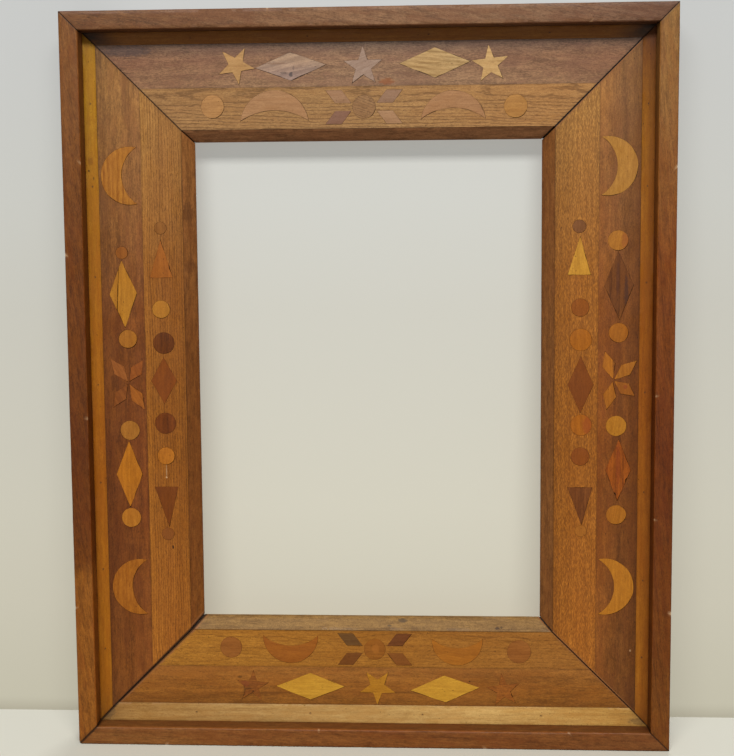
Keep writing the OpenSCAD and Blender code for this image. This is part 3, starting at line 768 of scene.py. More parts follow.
INLAY_WOODS = {
    # The top rail's inlays are greyer than those below, partly from painted sheen
    "top_outer_stars": board(CLOSE, (183, 141, 91), in_turn((-300, 0.9, 0.9, 0.85), (0, 1.05, 1.15, 1.15))),
    "top_middle_star": board(CLOSE, (152, 127, 110)),
    "top_left_diamond": board(VEINED, (157, 132, 117),
        crosswise((45, 1.08, 1.05, 0.9), (60, 0.95, 0.97, 1.05)), dark=(0.72, 0.70, 0.70)),
    "top_right_diamond": board(CLOSE, (180, 147, 98), dark=(0.62, 0.58, 0.5), rings=0.7, wobble=9),
    "top_discs": board(CLOSE, (165, 117, 66), in_turn((-300, 1, 1.05, 1.15), (0, 1, 1, 0.8))),
    "top_crescents": board(CLOSE, (161, 117, 79), in_turn((-300, 1, 1.05, 1.05), (0, 0.95, 0.95, 0.9))),
    "top_flower_disc": board(OAK, (144, 108, 70)),
    "top_flower_petals": board(CLOSE, (152, 118, 84), by_quarter(
        (-2.5, 90), ((1, 0.95, 1), (0.7, 0.6, 0.75)), ((0.9, 0.9, 1.1), (1.1, 1.05, 1.05))), rings=0.5),
    "bottom_outer_stars": board(WALNUT, (141, 84, 31), in_turn((-300, 0.98, 0.96, 0.95), (0, 1.04, 1, 0.9))),
    "bottom_middle_star": board(CLOSE, (171, 116, 31)),
    "bottom_diamonds": board(CLOSE, (192, 141, 45), rings=0.2, streak=0.25),
    "bottom_discs": board(CLOSE, (141, 86, 35), grain=0.7, streak=0.6),
    "bottom_crescents": board(CLOSE, (152, 91, 29), in_turn((-300, 0.95, 0.9, 0.9), (0, 1.1, 1.15, 1))),
    "bottom_flower_disc": board(CLOSE, (143, 87, 27), streak=0.5),
    "bottom_flower_petals": board(CLOSE, (117, 71, 28), by_quarter(
        (4.7, 90), ((0.95, 0.9, 0.85), (0.75, 0.95, 1.4)), ((1.2, 1.15, 1.1), (0.85, 0.75, 0.95)))),
    "left_crescents": board(STRIPED, (162, 106, 34), in_turn((-300, 0.95, 0.8, 0.6), (0, 1.05, 1.05, 1.15))),
    "left_diamonds": board(CLOSE, (169, 108, 27), in_turn((-300, 1, 0.9, 0.75), (0, 1, 1.1, 1.25)),
                           rings=0.4, streak=0.4),
    "left_discs": board(CLOSE, (158, 99, 31), in_turn(
        (-300, 1.15, 1.15, 0.95), (-90, 0.95, 1, 1.15), (0, 0.95, 0.95, 0.9), (100, 0.7, 0.6, 0.65))),
    "left_flower_petals": board(CLOSE, (143, 80, 30), by_quarter(
        (1.5, 53), ((0.75, 0.75, 0.75), (1.15, 1.2, 0.9)), ((1.05, 1.15, 1.4), (0.95, 0.9, 0.8))),
        rings=0.5, streak=0.5),
    "left_upper_triangle": board(CLOSE, (149, 86, 28)),
    "left_lower_triangle": board(CLOSE, (111, 57, 14)),
    "left_pale_discs": board(CLOSE, (166, 105, 31), in_turn((-300, 1, 0.9, 0.75), (0, 1, 1.1, 1.25))),
    "left_dark_discs": board(VEINED, (104, 54, 15), in_turn((-300, 1.05, 1, 0.85), (0, 0.95, 1, 1.1))),
    "left_small_discs": board(CLOSE, (132, 80, 32), in_turn((-300, 0.95, 0.85, 0.75), (0, 1.05, 1.15, 1.2))),
    "left_oak_diamond": board(CLOSE, (120, 62, 16), streak=0.5),
    "right_crescents": board(CLOSE, (169, 113, 42), in_turn((-300, 1.05, 0.95, 0.55), (0, 0.95, 1.05, 1.3))),
    "right_upper_diamond": board(VEINED, (109, 64, 26)),
    "right_lower_diamond": board(VEINED, (145, 76, 18)),
    "right_discs": board(CLOSE, (159, 100, 28), in_turn(
        (-300, 1, 0.95, 0.85), (-80, 1.15, 1.25, 1.05), (0, 0.95, 0.85, 0.75), (90, 1.05, 1.1, 1.45))),
    "right_flower_petals": board(CLOSE, (158, 95, 26), by_quarter(
        (3, 50), ((0.85, 0.8, 0.9), (1, 1, 0.95)), ((1, 1.05, 1.15), (1.1, 1.1, 1.05))),
        rings=0.6, streak=0.5),
    "right_upper_triangle": board(CLOSE, (186, 133, 45), rings=0.2),
    "right_lower_triangle": board(VEINED, (117, 66, 26), pale=(1.15, 1.15, 1.15)),
    "right_red_discs": board(CLOSE, (143, 81, 20), in_turn(
        (-300, 0.8, 0.7, 0.9), (-53, 1.2, 1.2, 0.9), (0, 1.2, 1.25, 1), (58, 0.85, 0.8, 1))),
    "right_small_discs": board(CLOSE, (125, 77, 34), in_turn((-300, 1.55, 1.5, 0.85), (0, 0.9, 0.95, 1.3))),
    "right_oak_diamond": board(CLOSE, (118, 62, 17), streak=0.5),
}

WOODS = {**STRIP_WOODS, **INLAY_WOODS}

# Marks in the boards, each an oval: along, across, half length, half width, tone, share
MARKS = {
    "left_light_slip": [(205, 20.5, 1.2, 1, DIRT_AND_SHADE, 0.7), (198, 24.5, 1.8, 0.7, DIRT_AND_SHADE, 0.5),
                        (214, 22, 4, 2.4, (120, 70, 14), 0.5)],
    "bottom_light_slip": [(-262, 27, 9, 9, (84, 66, 44), 0.55), (258, 22, 9, 3, (90, 66, 40), 0.5)],
    "bottom_sight_slip": [(123, 111.6, 2.2, 1, (60, 40, 28), 0.8), (31, 117, 5, 1.6, (74, 60, 44), 0.7),
                          (18, 113, 2, 0.8, (80, 62, 44), 0.7), (127, 112.2, 1.2, 0.8, DIRT_AND_SHADE, 0.6)],
    "left_sight_slip": [(165, 113, 9, 5, (74, 40, 20), 0.4), (113, 114, 6, 5, (82, 44, 22), 0.4)],
    "top_walnut_band": [(19, 66, 7, 3.2, (138, 76, 34), 0.6), (11, 63, 1, 1.6, DIRT_AND_SHADE, 0.4),
                        # The grey patch near the top left corner is the same grey darkening
                        (-226, 35, 24, 5, (62, 56, 60), 0.4)],
    "bottom_walnut_band": [(96, 59, 0.9, 0.7, DIRT_AND_SHADE, 0.7), (-124.5, 50, 1, 9, (66, 36, 18), 0.5),
                           (-129, 61.5, 2.6, 1.2, DIRT_AND_SHADE, 0.5)],
    "left_oak_band": [
        (-160, 92.7, 1.9, 1, DIRT_AND_SHADE, 0.9), (-85, 88, 6.5, 0.5, BARE, 0.5), (-91, 88, 0.9, 0.9, BARE, 0.85)],
    "right_walnut_band": [(-260, 34.5, 1.3, 0.8, BARE, 0.55)],
    "right_oak_band": [(-262, 101, 3.5, 0.6, BARE, 0.3)],
    "top_left_diamond": [
        (-71, 58.5, 1.8, 2.4, (66, 60, 62), 0.75), (-77.5, 57, 3.4, 1.1, (90, 76, 70), 0.6),
        (-68.5, 52.5, 0.9, 2.2, (96, 80, 74), 0.5), (-84, 48, 9, 1.1, (120, 84, 62), 0.4)],
    "top_right_diamond": [(58, 49.5, 12, 0.9, (120, 88, 48), 0.4), (50, 53, 9, 0.7, (128, 92, 50), 0.35)],
    "bottom_flower_disc": [(4.7, 91, 3.5, 5, (176, 108, 40), 0.35)],
    "bottom_outer_stars": [(-122, 50, 7, 0.8, (60, 34, 20), 0.6), (-124, 55, 4.2, 3.4, (128, 62, 34), 0.45),
                           (-131, 52.5, 1.3, 2.6, (58, 34, 20), 0.6), (-116, 47, 1.2, 1, DIRT_AND_SHADE, 0.6),
                           (139.5, 51.5, 1, 0.8, DIRT_AND_SHADE, 0.5), (146, 47.5, 1.4, 0.9, DIRT_AND_SHADE, 0.45)],
    "right_discs": [(135, 42.5, 11, 4.2, (138, 72, 34), 0.6)],
    "right_lower_diamond": [(-76, 48, 22, 2.3, (112, 44, 20), 0.5), (-107, 51, 2.2, 1.4, DIRT_AND_SHADE, 0.8)],
    "right_upper_diamond": [(86, 42, 16, 1.8, (64, 40, 34), 0.55), (100, 50, 16, 1.4, (74, 42, 34), 0.4)],
    "right_flower_petals": [(20, 53, 10, 1, (96, 52, 26), 0.5), (-3, 42, 2, 2, (128, 56, 26), 0.6)],
    "right_red_discs": [(-39.5, 77.5, 10, 4.5, (140, 62, 26), 0.55)],
}
# Turn of a board's grain against its rail, in degrees
GRAIN_TURN = {
    "top_rim": -9, "bottom_rim": 3, "left_rim": 7, "right_rim": -5, "top_left_diamond": 12,
    "top_right_diamond": -5, "top_middle_star": 20, "top_flower_disc": -20, "left_flower_petals": 30,
    "bottom_crescents": 6, "right_discs": 8}
# Where along its rail a board's figure is strong: from, to, strength at either
STRENGTH = {"left_crescents": (-50, 50, 0.15, 1)}
# Nicks in the rims' arrises: along, number of the arris, half length, depth
RIM_SCARS = {
    "right": [(203, 0, 1.8, 0.8), (-216.5, 0, 2.2, 0.9), (-9, 3, 1.6, 0.35), (-126, 3, 1.2, 0.3)],
    "left": [(212, 3, 1.6, 0.4), (126, 0, 2, 0.8), (-30, 3, 1.6, 0.35), (-215, 0, 1.6, 0.5)],
    "top": [(-90, 0, 1.6, 0.35), (205, 3, 1.6, 0.35)],
    "bottom": [(-199, 0, 1.8, 0.5), (-50, 3, 1.2, 0.35), (110, 0, 1.8, 0.5), (190, 3, 1.2, 0.3)],
}
# Radius to which the frame's outer corners are worn, at the low and the high end of each rim
CORNER_WEAR = {"top": (0.6, 0.9), "bottom": (4.2, 1.2), "left": (4.2, 0.6), "right": (1.2, 0.9)}


def finish_strip(node, mesh, seed, **finish):
    new_piece(node + "_worn", mesh, node, wood(node, seed, **finish))


# Radius and depth of the holes over the nails' heads
NAIL_HOLE = (1.15, 1.6)


def make_rims():
    for n, side in enumerate(SIDES):
        node = side + "_rim"
        low, high = rail_reach(node)
        front, back, width = low[2], high[2], high[1]
        corners = [(front, 0, 0.9), (back, 0, 0.6), (back, width, 0.6), (front, width, 0.9)]
        mesh = planed_strip(
            node, corners, 0.55, 11.0 * n, 1.6, RIM_SCARS[side], CORNER_WEAR[side], width - 0.7)
        if side in ("top", "bottom"):
            heads = [head for head in nail_heads() if (head[1][2] > 0) == (side == "top")]
            mesh = drilled(mesh, heads, *NAIL_HOLE)
        finish_strip(node, mesh, 20 + n, finished_to=20.5)


def make_light_slips():
    brads = brad_places()
    for n, side in enumerate(SIDES):
        node = side + "_light_slip"
        low, high = rail_reach(node)
        panel = rail_reach(side + "_walnut_band")[0][2]
        corners = [(low[2], low[1], 0.25), (high[2], low[1], 0.25),
                   (high[2], high[1], 0.25), (panel, high[1], 0.3)]
        mesh = planed_strip(node, corners, 0.15, 50 + 9.0 * n, 3.0)
        rust = [(along, across, 1.4, 1.1, (78, 44, 18), 0.3) for along, across in brads[side]]
        finish_strip(node, mesh, 30 + n, edges=(low[1], high[1]), marks=rust, joint=0.6,
                     corner_dust=0.95 if side == "top" else 0.2)


def make_sight_slips():
    for n, side in enumerate(SIDES):
        node = side + "_sight_slip"
        low, high = rail_reach(node)
        corners = [(low[2], low[1], 0.25), (high[2], low[1], 0.25),
                   (high[2], high[1], 0.6), (high[2] - LIP, high[1], 0.8)]
        mesh = planed_strip(node, corners, 0.3, 80 + 13.0 * n, 2.5)
        finish_strip(node, mesh, 40 + n, edges=(low[1],), finished_to=9.5,
                     eased_mitre=0.8 * (side in ("left", "bottom")))


def dress_bands():
    """The bands keep their CAD meshes."""
    for n, side in enumerate(SIDES):
        for band, seed, dust in (("walnut", 50, 0.35), ("oak", 60, 0.0)):
            node = f"{side}_{band}_band"
            low, high = rail_reach(node)
            eased_mitre = 0.75 * (side in ("right", "bottom"))
            material = wood(node, seed + n, (low[1], high[1]), corner_dust=dust, eased_mitre=eased_mitre)
            dress(frame["nodes"][node].data, material)


def make_mitre_glue():
    """Old brown glue that fills each open mitre to a little below the bands' faces."""
    band, sight = rail_reach("top_oak_band"), rail_reach("top_sight_slip")
    face, back, below, inset = band[0][2], band[1][2], 2.2, 0.6
    joint, inner, seat_y = band[1][1], sight[1][1] - inset, sight[1][2] - 0.2
    outline = [
        (RIM_W + inset, face + below), (joint, face + below), (inner, sight[1][2] - LIP + below - inset),
        (inner, seat_y), (joint, seat_y), (joint, back - inset), (RIM_W + inset, back - inset)]
    glue = old_glue()
    for side, up in (("top", 1), ("bottom", -1)):
        for other, end in (("left", -1), ("right", 1)):
            reaches = [band_reach(side, end), band_reach(other, up)]
            half = min(reaches) * math.sqrt(0.5) - 0.03
            vertices = []
            for shift in (-half * math.sqrt(2), half * math.sqrt(2)):
                vertices += [rail_point(side, end * (HALF_LENGTH[side] - across - shift), across, depth)
                             for across, depth in outline]
            name = f"mitre_glue_{side}_{other}"
            mesh = closed_mesh(name, vertices, tube_faces(2, len(outline)))
            dress(mesh, glue)
            piece = placed(name, mesh)
            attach(piece, "root")


def band_reach(side, end):
    """How near an oak band comes to the mitre at one end of its rail, along the rail."""
    a, a0, c, c0 = RAIL_AXES[side]
    return min(HALF_LENGTH[side] - (v.co.dot(Vector(c)) / MM + c0) - end * (v.co.dot(Vector(a)) / MM + a0)
               for v in frame["nodes"][side + "_oak_band"].data.vertices)


# Inlays: each outline is taken from its CAD node and cut again by a less steady hand


def merged(node):
    """A CAD node's loose triangles as a mesh whose corners are shared."""
    made = bmesh.new()
    made.from_mesh(frame["nodes"][node].data)
    bmesh.ops.remove_doubles(made, verts=made.verts, dist=0.002 * MM)
    return made


def front_outlines(node):
    """Front outlines of a CAD node's solids, as arrays of (x, z) points in millimetres."""
    made = merged(node)
    made.normal_update()
    made.verts.index_update()
    facing = [face for face in made.faces if face.normal.y < -0.9]
    front = set(facing)
    spots, follows = {}, {}
    for face in facing:
        for loop in face.loops:
            if not any(other in front for other in loop.edge.link_faces if other is not face):
                start, end = loop.vert, loop.link_loop_next.vert
                follows[start.index] = end.index
                spots[start.index] = (start.co.x / MM, start.co.z / MM)
    made.free()
    outlines = []
    while follows:
        here, outline = min(follows), []
        while here in follows:
            outline.append(spots[here])
            here = follows.pop(here)
        outlines.append(np.array(outline))
    return outlines


def after(values):
    """The values of a closed row, each in the place of the one before it."""
    return np.roll(values, -1, axis=0)


def before(values):
    return np.roll(values, 1, axis=0)


def evened(outline, step=0.9):
    """The outline with points at even steps; sharp corners stay, facets become curves."""
    arriving = unit(outline - before(outline))
    sharp = np.sum(arriving * after(arriving), axis=1) < math.cos(math.radians(30))
    points, fixed = [], []
    for n, (start, end) in enumerate(zip(outline, after(outline))):
        parts = max(1, round(float(np.linalg.norm(end - start)) / step))
        for k in range(parts):
            points.append(start + (end - start) * k / parts)
            fixed.append(k == 0 and sharp[n])
    points, fixed = np.array(points), np.array(fixed)[:, None]
    for _ in range(3):
        points = np.where(fixed, points, (before(points) + 2 * points + after(points)) / 4)
    return points


def outward(points):
    """Unit normals of an outline, and how far a corner's normal has to stretch."""
    arriving = unit(points - before(points))
    both = arriving + after(arriving)
    stretch = 1 / np.maximum(np.linalg.norm(both, axis=1) / 2, 0.35)
    way = unit(both)
    return np.stack((way[:, 1], -way[:, 0]), axis=1), stretch


def room_inside(points, normals):
    """How far each point of an outline could move straight inwards before it met the far side."""
    ways = after(points) - points
    apart = points[None, :, :] - points[:, None, :]
    inward = -normals[:, None, :]
    across = inward[..., 0] * ways[None, :, 1] - inward[..., 1] * ways[None, :, 0]
    across = np.where(np.abs(across) < 1e-9, 1e-9, across)
    reach = (apart[..., 0] * ways[None, :, 1] - apart[..., 1] * ways[None, :, 0]) / across
    share = (apart[..., 0] * inward[..., 1] - apart[..., 1] * inward[..., 0]) / across
    met = (reach > 1e-4) & (share >= 0) & (share <= 1)
    return np.where(met, reach, 1e3).min(axis=1)


def drawn_in(points, amount):
    """The outline moved inwards, but less where the piece is too narrow for it."""
    normals, stretch = outward(points)
    amounts = np.minimum(amount, 0.3 * room_inside(points, normals))
    for _ in range(2):
        amounts = np.minimum(amounts, np.minimum(before(amounts), after(amounts)))
    return points - normals * (stretch * amounts)[:, None]


# Chips out of an inlay's edge: along, across, half length, depth
CHIPS = {
    "right_lower_diamond": [(-92.5, 40, 2.6, 1.1), (-105.5, 51, 1.6, 1)],
    "bottom_outer_stars": [
        (-132, 60, 3.5, 0.9), (-127, 44, 3, 0.8), (-106, 66, 2.5, 0.7), (138, 46, 3, 0.7)],
    "top_middle_star": [(-14, 66, 2, 0.5)],
    "left_upper_triangle": [(112, 95.5, 5, 0.45)],
    "top_left_diamond": [(-64, 59.5, 9, 0.4)],
}
# How much of the dark line round it an inlay shows, for those that fit their pockets best
SNUG = {"left_oak_diamond": 0.3, "left_small_discs": 0.2, "left_dark_discs": 0.3, "right_oak_diamond": 0.3,
        "right_red_discs": 0.3, "right_small_discs": 0.3, "bottom_discs": 0.3, "bottom_flower_disc": 0.3,
        "bottom_crescents": 0.5, "top_flower_petals": 0.4}


def cut_inlay(node, seed):
    """The mesh of an inlay with a hand-sawn outline. It all but fills its pocket, save where the
    saw strayed, mostly on the right and below; there a dark line shows, partly old glue and
    partly painted shade."""
    side, (low, high) = side_of(node), rail_reach(node)
    face, back = low[2], high[2]
    # How far the piece reaches into the 0.25 mm glue line, how far it can fall short, how far
    # its arris is eased, and how wide its dark edge is
    tight, open_by, eased, edge_line = 0.2, 0.32, 0.1, 0.42
    rng = random.Random(seed)
    chips = [(rail_point(side, *middle, 0) / MM, half, deep) for *middle, half, deep in CHIPS.get(node, ())]
    vertices, faces, glue_and_shade_marks = [], [], []
    for outline in front_outlines(node):
        points = evened(outline)
        normals, _ = outward(points)
        opened = []
        for n, (x, z) in enumerate(points):
            strayed = noise.noise(Vector((x / 13, z / 13, seed)))
            # Right and lower edges stray more: a wider gap there, and a heavier dark edge, which is painted
            # shade
            strayed += 0.3 * (normals[n][0] - normals[n][1]) + 0.05
            share = min(1.0, max(0.0, strayed / 0.6)) * SNUG.get(node, 1.0)
            saw = tight - open_by * share + 0.05 * noise.noise(Vector((x / 4, z / 4, seed + 0.5)))
            for centre, half, deep in chips:
                bite = deep * max(0.0, 1 - math.hypot(x - centre.x, z - centre.z) / half)
                saw -= bite
                share = max(share, min(1.0, bite * 3))
            opened.append(share)
            points[n] += normals[n] * saw
        level = rng.uniform(-0.03, 0.06)
        rings = [(drawn_in(points, 0.08), back, 1.0), (points, face + 0.2, 1.0),
                 (drawn_in(points, eased), face + 0.02 - level, 1.0),
                 (drawn_in(points, edge_line), face - level, 0.0)]
        start, count = len(vertices), len(points)
        for ring, depth, mark in rings:
            vertices += [Vector((x, depth, z)) * MM for x, z in ring]
            glue_and_shade_marks += [mark * (0.1 + 0.9 * share) for share in opened]
        faces += [tuple(start + k for k in corner) for corner in tube_faces(len(rings), count)]
    return closed_mesh(node + "_cut", vertices, faces, (("glue_and_shade_edge", glue_and_shade_marks),))


def make_inlays():
    for n, node in enumerate(INLAY_WOODS):
        material = wood(node, 100 + n)
        new_piece(node + "_cut", cut_inlay(node, 200 + n), node, material)


# Brads and nails


def solids_of(node):
    """Lowest and highest corner of each solid in a CAD node, in millimetres."""
    made = merged(node)
    left, boxes = set(made.verts), []
    for seed in made.verts:
        if seed not in left:
            continue
        left.remove(seed)
        found, waiting = [seed], [seed]
        while waiting:
            for edge in waiting.pop().link_edges:
                for vertex in edge.verts:
                    if vertex in left:
                        left.remove(vertex)
                        found.append(vertex)
                        waiting.append(vertex)
        spots = np.array([v.co for v in found]) / MM
        boxes.append((spots.min(axis=0), spots.max(axis=0)))
    made.free()
    return boxes


def brad_places():
    """Where the brads come up in each rail's light slip, as (along, across) in millimetres."""
    places = {side: [] for side in SIDES}
    for low, high in solids_of("slip_brads"):
        x, z = (low[0] + high[0]) / 2, (low[2] + high[2]) / 2
        edges = {"top": FRAME_H - z, "bottom": z, "left": x + FRAME_W / 2, "right": FRAME_W / 2 - x}
        side = min(edges, key=edges.get)
        places[side].append((x if side in ("top", "bottom") else z - FRAME_H / 2, edges[side]))
    return places


def nail_heads():
    """Each corner nail as its head's place in millimetres and the way that its head faces."""
    heads = []
    for low, high in solids_of("corner_nails"):
        x, y, z = (low + high) / 2
        up = z > FRAME_H / 2
        heads.append(((x, y, high[2] if up else low[2]), (0, 0, 1 if up else -1)))
    return heads


def make_pins_tree():
    """Geometry nodes that drive one pin into each point, head outwards: a shank that tapers to
    a blunt point, with a slightly crowned head and each pin turned its own way."""
    ins = {"Geometry": ("Geometry", None), "Length": ("Float", 0.014), "Thickness": ("Float", 0.0016),
           "Crown": ("Float", 0.0001), "Point length": ("Float", 0.003), "Sides": ("Int", 12),
           "Seed": ("Int", 7), "Finish": ("Material", None)}
    tree, i = group_with("driven_pins", "GeometryNodeTree", ins, {"Geometry": "Geometry"})
    radius = i["Thickness"] / 2.0
    shank = {"Vertices": i["Sides"], "Side Segments": 4, "Fill Segments": 2}
    shank = put(tree, "GeometryNodeMeshCylinder", {**shank, "Radius": radius, "Depth": i["Length"]})
    x, y, z = put(tree, "ShaderNodeSeparateXYZ", {0: put(tree, "GeometryNodeInputPosition")}).parts()
    below = z - i["Length"] / 2.0
    tip = i["Length"] * -1.0
    slim = span(below, tip, tip + i["Point length"], 0.3, way="LINEAR")
    off_axis = calc("SQRT", x * x + y * y) / radius
    crown = off_axis * off_axis * calc("GREATER_THAN", below, -1e-6) * i["Crown"]
    shaped = put(tree, "ShaderNodeCombineXYZ", {0: x * slim, 1: y * slim, 2: below - crown})
    pin = put(tree, "GeometryNodeSetPosition", {"Geometry": shank, "Position": shaped})
    facing = put(tree, "GeometryNodeInputNamedAttribute", {"Name": "facing"}, data_type="FLOAT_VECTOR")
    turn = put(tree, "FunctionNodeRandomValue", {"Min": 0.0, "Max": math.tau, "Seed": i["Seed"]})
    spun = {"Axis": (0, 0, 1), "Angle": turn.other("Value")}
    spun = put(tree, "FunctionNodeAxisAngleToRotation", spun)
    aimed = {"Rotation": spun, "Vector": facing.other("Attribute")}
    aimed = put(tree, "FunctionNodeAlignRotationToVector", aimed, axis="Z")
    driven = {"Points": i["Geometry"], "Instance": pin, "Rotation": aimed}
    driven = put(tree, "GeometryNodeInstanceOnPoints", driven)
    whole = put(tree, "GeometryNodeRealizeInstances", {"Geometry": driven})
    finished = put(tree, "GeometryNodeSetMaterial", {"Geometry": whole, "Material": i["Finish"]})
    put(tree, "NodeGroupOutput", {0: finished})
    return tree


def driven_pins(node, heads, tree, finish, length, thickness, crown):
    """A piece of pins at heads, each (place in millimetres, way that the head faces)."""
    points = bpy.data.meshes.new(node + "_heads")
    points.from_pydata([Vector(place) * MM for place, _ in heads], [], [])
    ways = np.array([way for _, way in heads], dtype=float).ravel()
    points.attributes.new("facing", "FLOAT_VECTOR", "POINT").data.foreach_set("vector", ways)
    holder = placed(node + "_heads", points)
    step = holder.modifiers.new("pins", "NODES")
    step.node_group = tree
    sizes = {"Length": length * MM, "Thickness": thickness * MM, "Crown": crown * MM, "Finish": finish}
    for socket in tree.interface.items_tree:
        if socket.in_out == "INPUT" and socket.name in sizes:
            step[socket.identifier] = sizes[socket.name]
    new_piece(node + "_driven", smoothed(as_mesh(holder)), node, finish)


def make_fasteners():
    steel = dark_steel()
    tree = make_pins_tree()
    boxes = solids_of("slip_brads")
    brads = [(((low[0] + high[0]) / 2, low[1], (low[2] + high[2]) / 2), (0, -1, 0)) for low, high in boxes]
    low, high = boxes[0]
    driven_pins("slip_brads", brads, tree, steel, high[1] - low[1], high[0] - low[0], 0.08)
    low, high = solids_of("corner_nails")[0]
    driven_pins("corner_nails", nail_heads(), tree, steel, high[2] - low[2], high[0] - low[0], 0.2)


def drilled(mesh, places, radius, deep):
    """The mesh with a round hole at each place (a point in millimetres and the way out of it)."""
    drills = bmesh.new()
    for place, way in places:
        turn = Vector((0, 0, 1)).rotation_difference(Vector(way)).to_matrix().to_4x4()
        bmesh.ops.create_cone(
            drills, cap_ends=True, segments=14, radius1=radius * MM, radius2=1.12 * radius * MM,
            depth=2 * deep * MM, matrix=Matrix.Translation(Vector(place) * MM) @ turn)
    tool = placed("drill", bpy.data.meshes.new("drill"))
    drills.to_mesh(tool.data)
    drills.free()
    blank = placed("blank", mesh)
    step = blank.modifiers.new("holes", "BOOLEAN")
    step.operation, step.solver, step.object = "DIFFERENCE", "EXACT", tool
    made = as_mesh(blank)
    bpy.data.objects.remove(tool)
    return made


# Stage, light and camera


def paint(name, colour):
    """Matt paint, and the shader that holds it."""
    material = bpy.data.materials.new(name)
    material.use_nodes = True
    shader = material.node_tree.nodes["Principled BSDF"]
    for key, value in (("Roughness", 0.85), ("Specular IOR Level", 0.15), ("Base Color", colour)):
        shader.inputs[key].default_value = value
    return material, shader


def sheet_of(name, corners, material):
    mesh = bpy.data.meshes.new(name)
    mesh.from_pydata(corners, [], [(0, 1, 2, 3)])
    dress(mesh, material)
    piece = placed(name, mesh)
    return piece


STAGE_REACH = 6.0


def make_floor():
    """A pale floor. It fades some metres away, nearer the lamps, and throws back less light than
    it shows."""
    material, shader = paint("floor_paint", srgb(216, 214, 200))
    tree = material.node_tree
    here = put(tree, "ShaderNodeTexCoord").other("Object")
    away = put(tree, "ShaderNodeVectorMath", {0: here}, operation="LENGTH").other("Value")
    shown = blend(span(away, 0.8, 3.2), srgb(216, 214, 200), srgb(176, 174, 164))
    seen = put(tree, "ShaderNodeLightPath").other("Is Camera Ray")
    tree.links.new(blend(seen, srgb(165, 160, 150), shown).socket, shader.inputs["Base Color"])
    r = STAGE_REACH
    sheet_of("floor", [(-r, -r, 0), (r, -r, 0), (r, r, 0), (-r, r, 0)], material)


# The wall's paint at heights in metres: its foot is shaded and its upper part greyer
WALL_TONES = ((0.0, 186, 181, 161), (0.014, 204, 200, 180), (0.12, 210, 206, 188), (0.22, 212, 209, 193),
              (0.42, 207, 206, 196), (0.53, 207, 208, 202), (0.7, 204, 206, 205))


def make_wall():
    """A pale wall close behind the frame that shows from the front alone."""
    material, shader = paint("wall_paint_and_glow", srgb(213, 209, 195))
    tree = material.node_tree
    here = put(tree, "ShaderNodeTexCoord").other("Object")
    x, _, z = put(tree, "ShaderNodeSeparateXYZ", {0: here}).parts()
    tone = stepped(z / MM, [(start / MM, *srgb(*tone)[:3]) for start, *tone in WALL_TONES], smooth=True)
    # Darker away from the middle: painted shade
    painted_side_shade = span(calc("ABSOLUTE", x), 0.2, 0.28, 1.0, 0.92)
    side_shade_grey = put(tree, "ShaderNodeCombineColor", {0: painted_side_shade, 1: painted_side_shade, 2: painted_side_shade})
    # Half of its paleness is painted light that it gives off, so the frame's shadow on it stays faint
    half = {0: blend(1.0, tone, side_shade_grey, "MULTIPLY"), "Scale": 0.5}
    half = put(tree, "ShaderNodeVectorMath", half, operation="SCALE")
    for key in ("Base Color", "Emission Color"):
        tree.links.new(half.socket, shader.inputs[key])
    shader.inputs["Emission Strength"].default_value = 1.0
    behind = put(tree, "ShaderNodeNewGeometry").other("Backfacing")
    clear = put(tree, "ShaderNodeBsdfTransparent")
    mixed = put(tree, "ShaderNodeMixShader", {0: behind, 1: Reading(shader.outputs[0]), 2: clear})
    tree.links.new(mixed.socket, tree.nodes["Material Output"].inputs[0])
    foot, lean, height = 51 * MM, -0.0405, 2.2
    top, r = foot + lean * height, STAGE_REACH
    wall = sheet_of("wall", [(-r, foot, 0), (r, foot, 0), (r, top, height), (-r, top, height)], material)
    wall.visible_diffuse = False
    wall.visible_glossy = False
    wall.visible_shadow = False


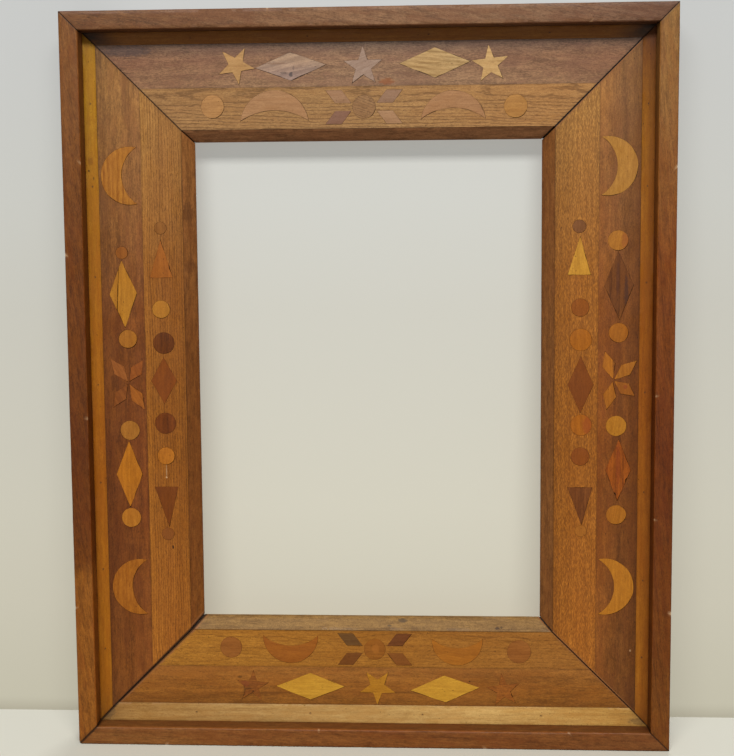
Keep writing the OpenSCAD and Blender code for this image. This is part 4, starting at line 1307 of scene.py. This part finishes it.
def soft_light(name, place, size, power, colour=(1, 1, 1)):
    """A rectangular lamp that faces the frame's middle."""
    data = bpy.data.lights.new(name, "AREA")
    data.shape = "RECTANGLE"
    data.size, data.size_y = size
    data.energy = power
    data.color = colour
    lamp = placed(name, data)
    lamp.location = place
    aim = Vector((0, 0, FRAME_H / 2 * MM)) - Vector(place)
    lamp.rotation_euler = aim.to_track_quat("-Z", "Y").to_euler()
    return lamp


def make_light():
    soft_light("key_light", (0.0, -5.4, 4.8), (8.0, 1.6), 590, (1.0, 0.985, 0.965))
    soft_light("back_light", (1.4, 5.4, 1.7), (3.0, 2.4), 240).visible_glossy = False
    world = bpy.data.worlds.new("studio")
    bpy.context.scene.world = world
    world.use_nodes = True
    tree = world.node_tree
    tree.nodes.clear()
    seen = put(tree, "ShaderNodeLightPath").other("Is Camera Ray")
    shown = put(tree, "ShaderNodeBackground", {"Color": srgb(216, 214, 206), "Strength": 1.0})
    lit = put(tree, "ShaderNodeBackground", {"Color": (0.96, 0.98, 1.0, 1.0), "Strength": 0.2})
    put(tree, "ShaderNodeOutputWorld", {0: put(tree, "ShaderNodeMixShader", {0: seen, 1: lit, 2: shown})})


def make_camera():
    """The photograph's viewing angle: where the lens stood, how far it was tilted down, turned
    left and rolled, and how far above the picture's middle its axis lay."""
    place = Vector((41.1, -1005.8, 505.6)) * MM
    tilt, heading, roll = 0.0770, 0.0421, -0.0078
    focal_pixels, long_side, axis_above = 1058.7, 756.0, 73.8
    look = Matrix.Rotation(heading, 3, "Z") @ Matrix.Rotation(math.pi / 2 - tilt, 3, "X")
    look = look @ Matrix.Rotation(roll, 3, "Z")
    data = bpy.data.cameras.new("camera")
    data.sensor_width = 36.0
    data.lens = focal_pixels / long_side * data.sensor_width
    data.shift_y = -axis_above / long_side
    data.clip_start = 0.05
    camera = placed("camera", data)
    camera.matrix_world = Matrix.Translation(place) @ look.to_4x4()
    bpy.context.scene.camera = camera


make_rims()
make_light_slips()
make_sight_slips()
dress_bands()
make_mitre_glue()
make_inlays()
make_fasteners()
make_floor()
make_wall()
make_light()
make_camera()
bpy.context.scene.view_settings.view_transform = "Standard"
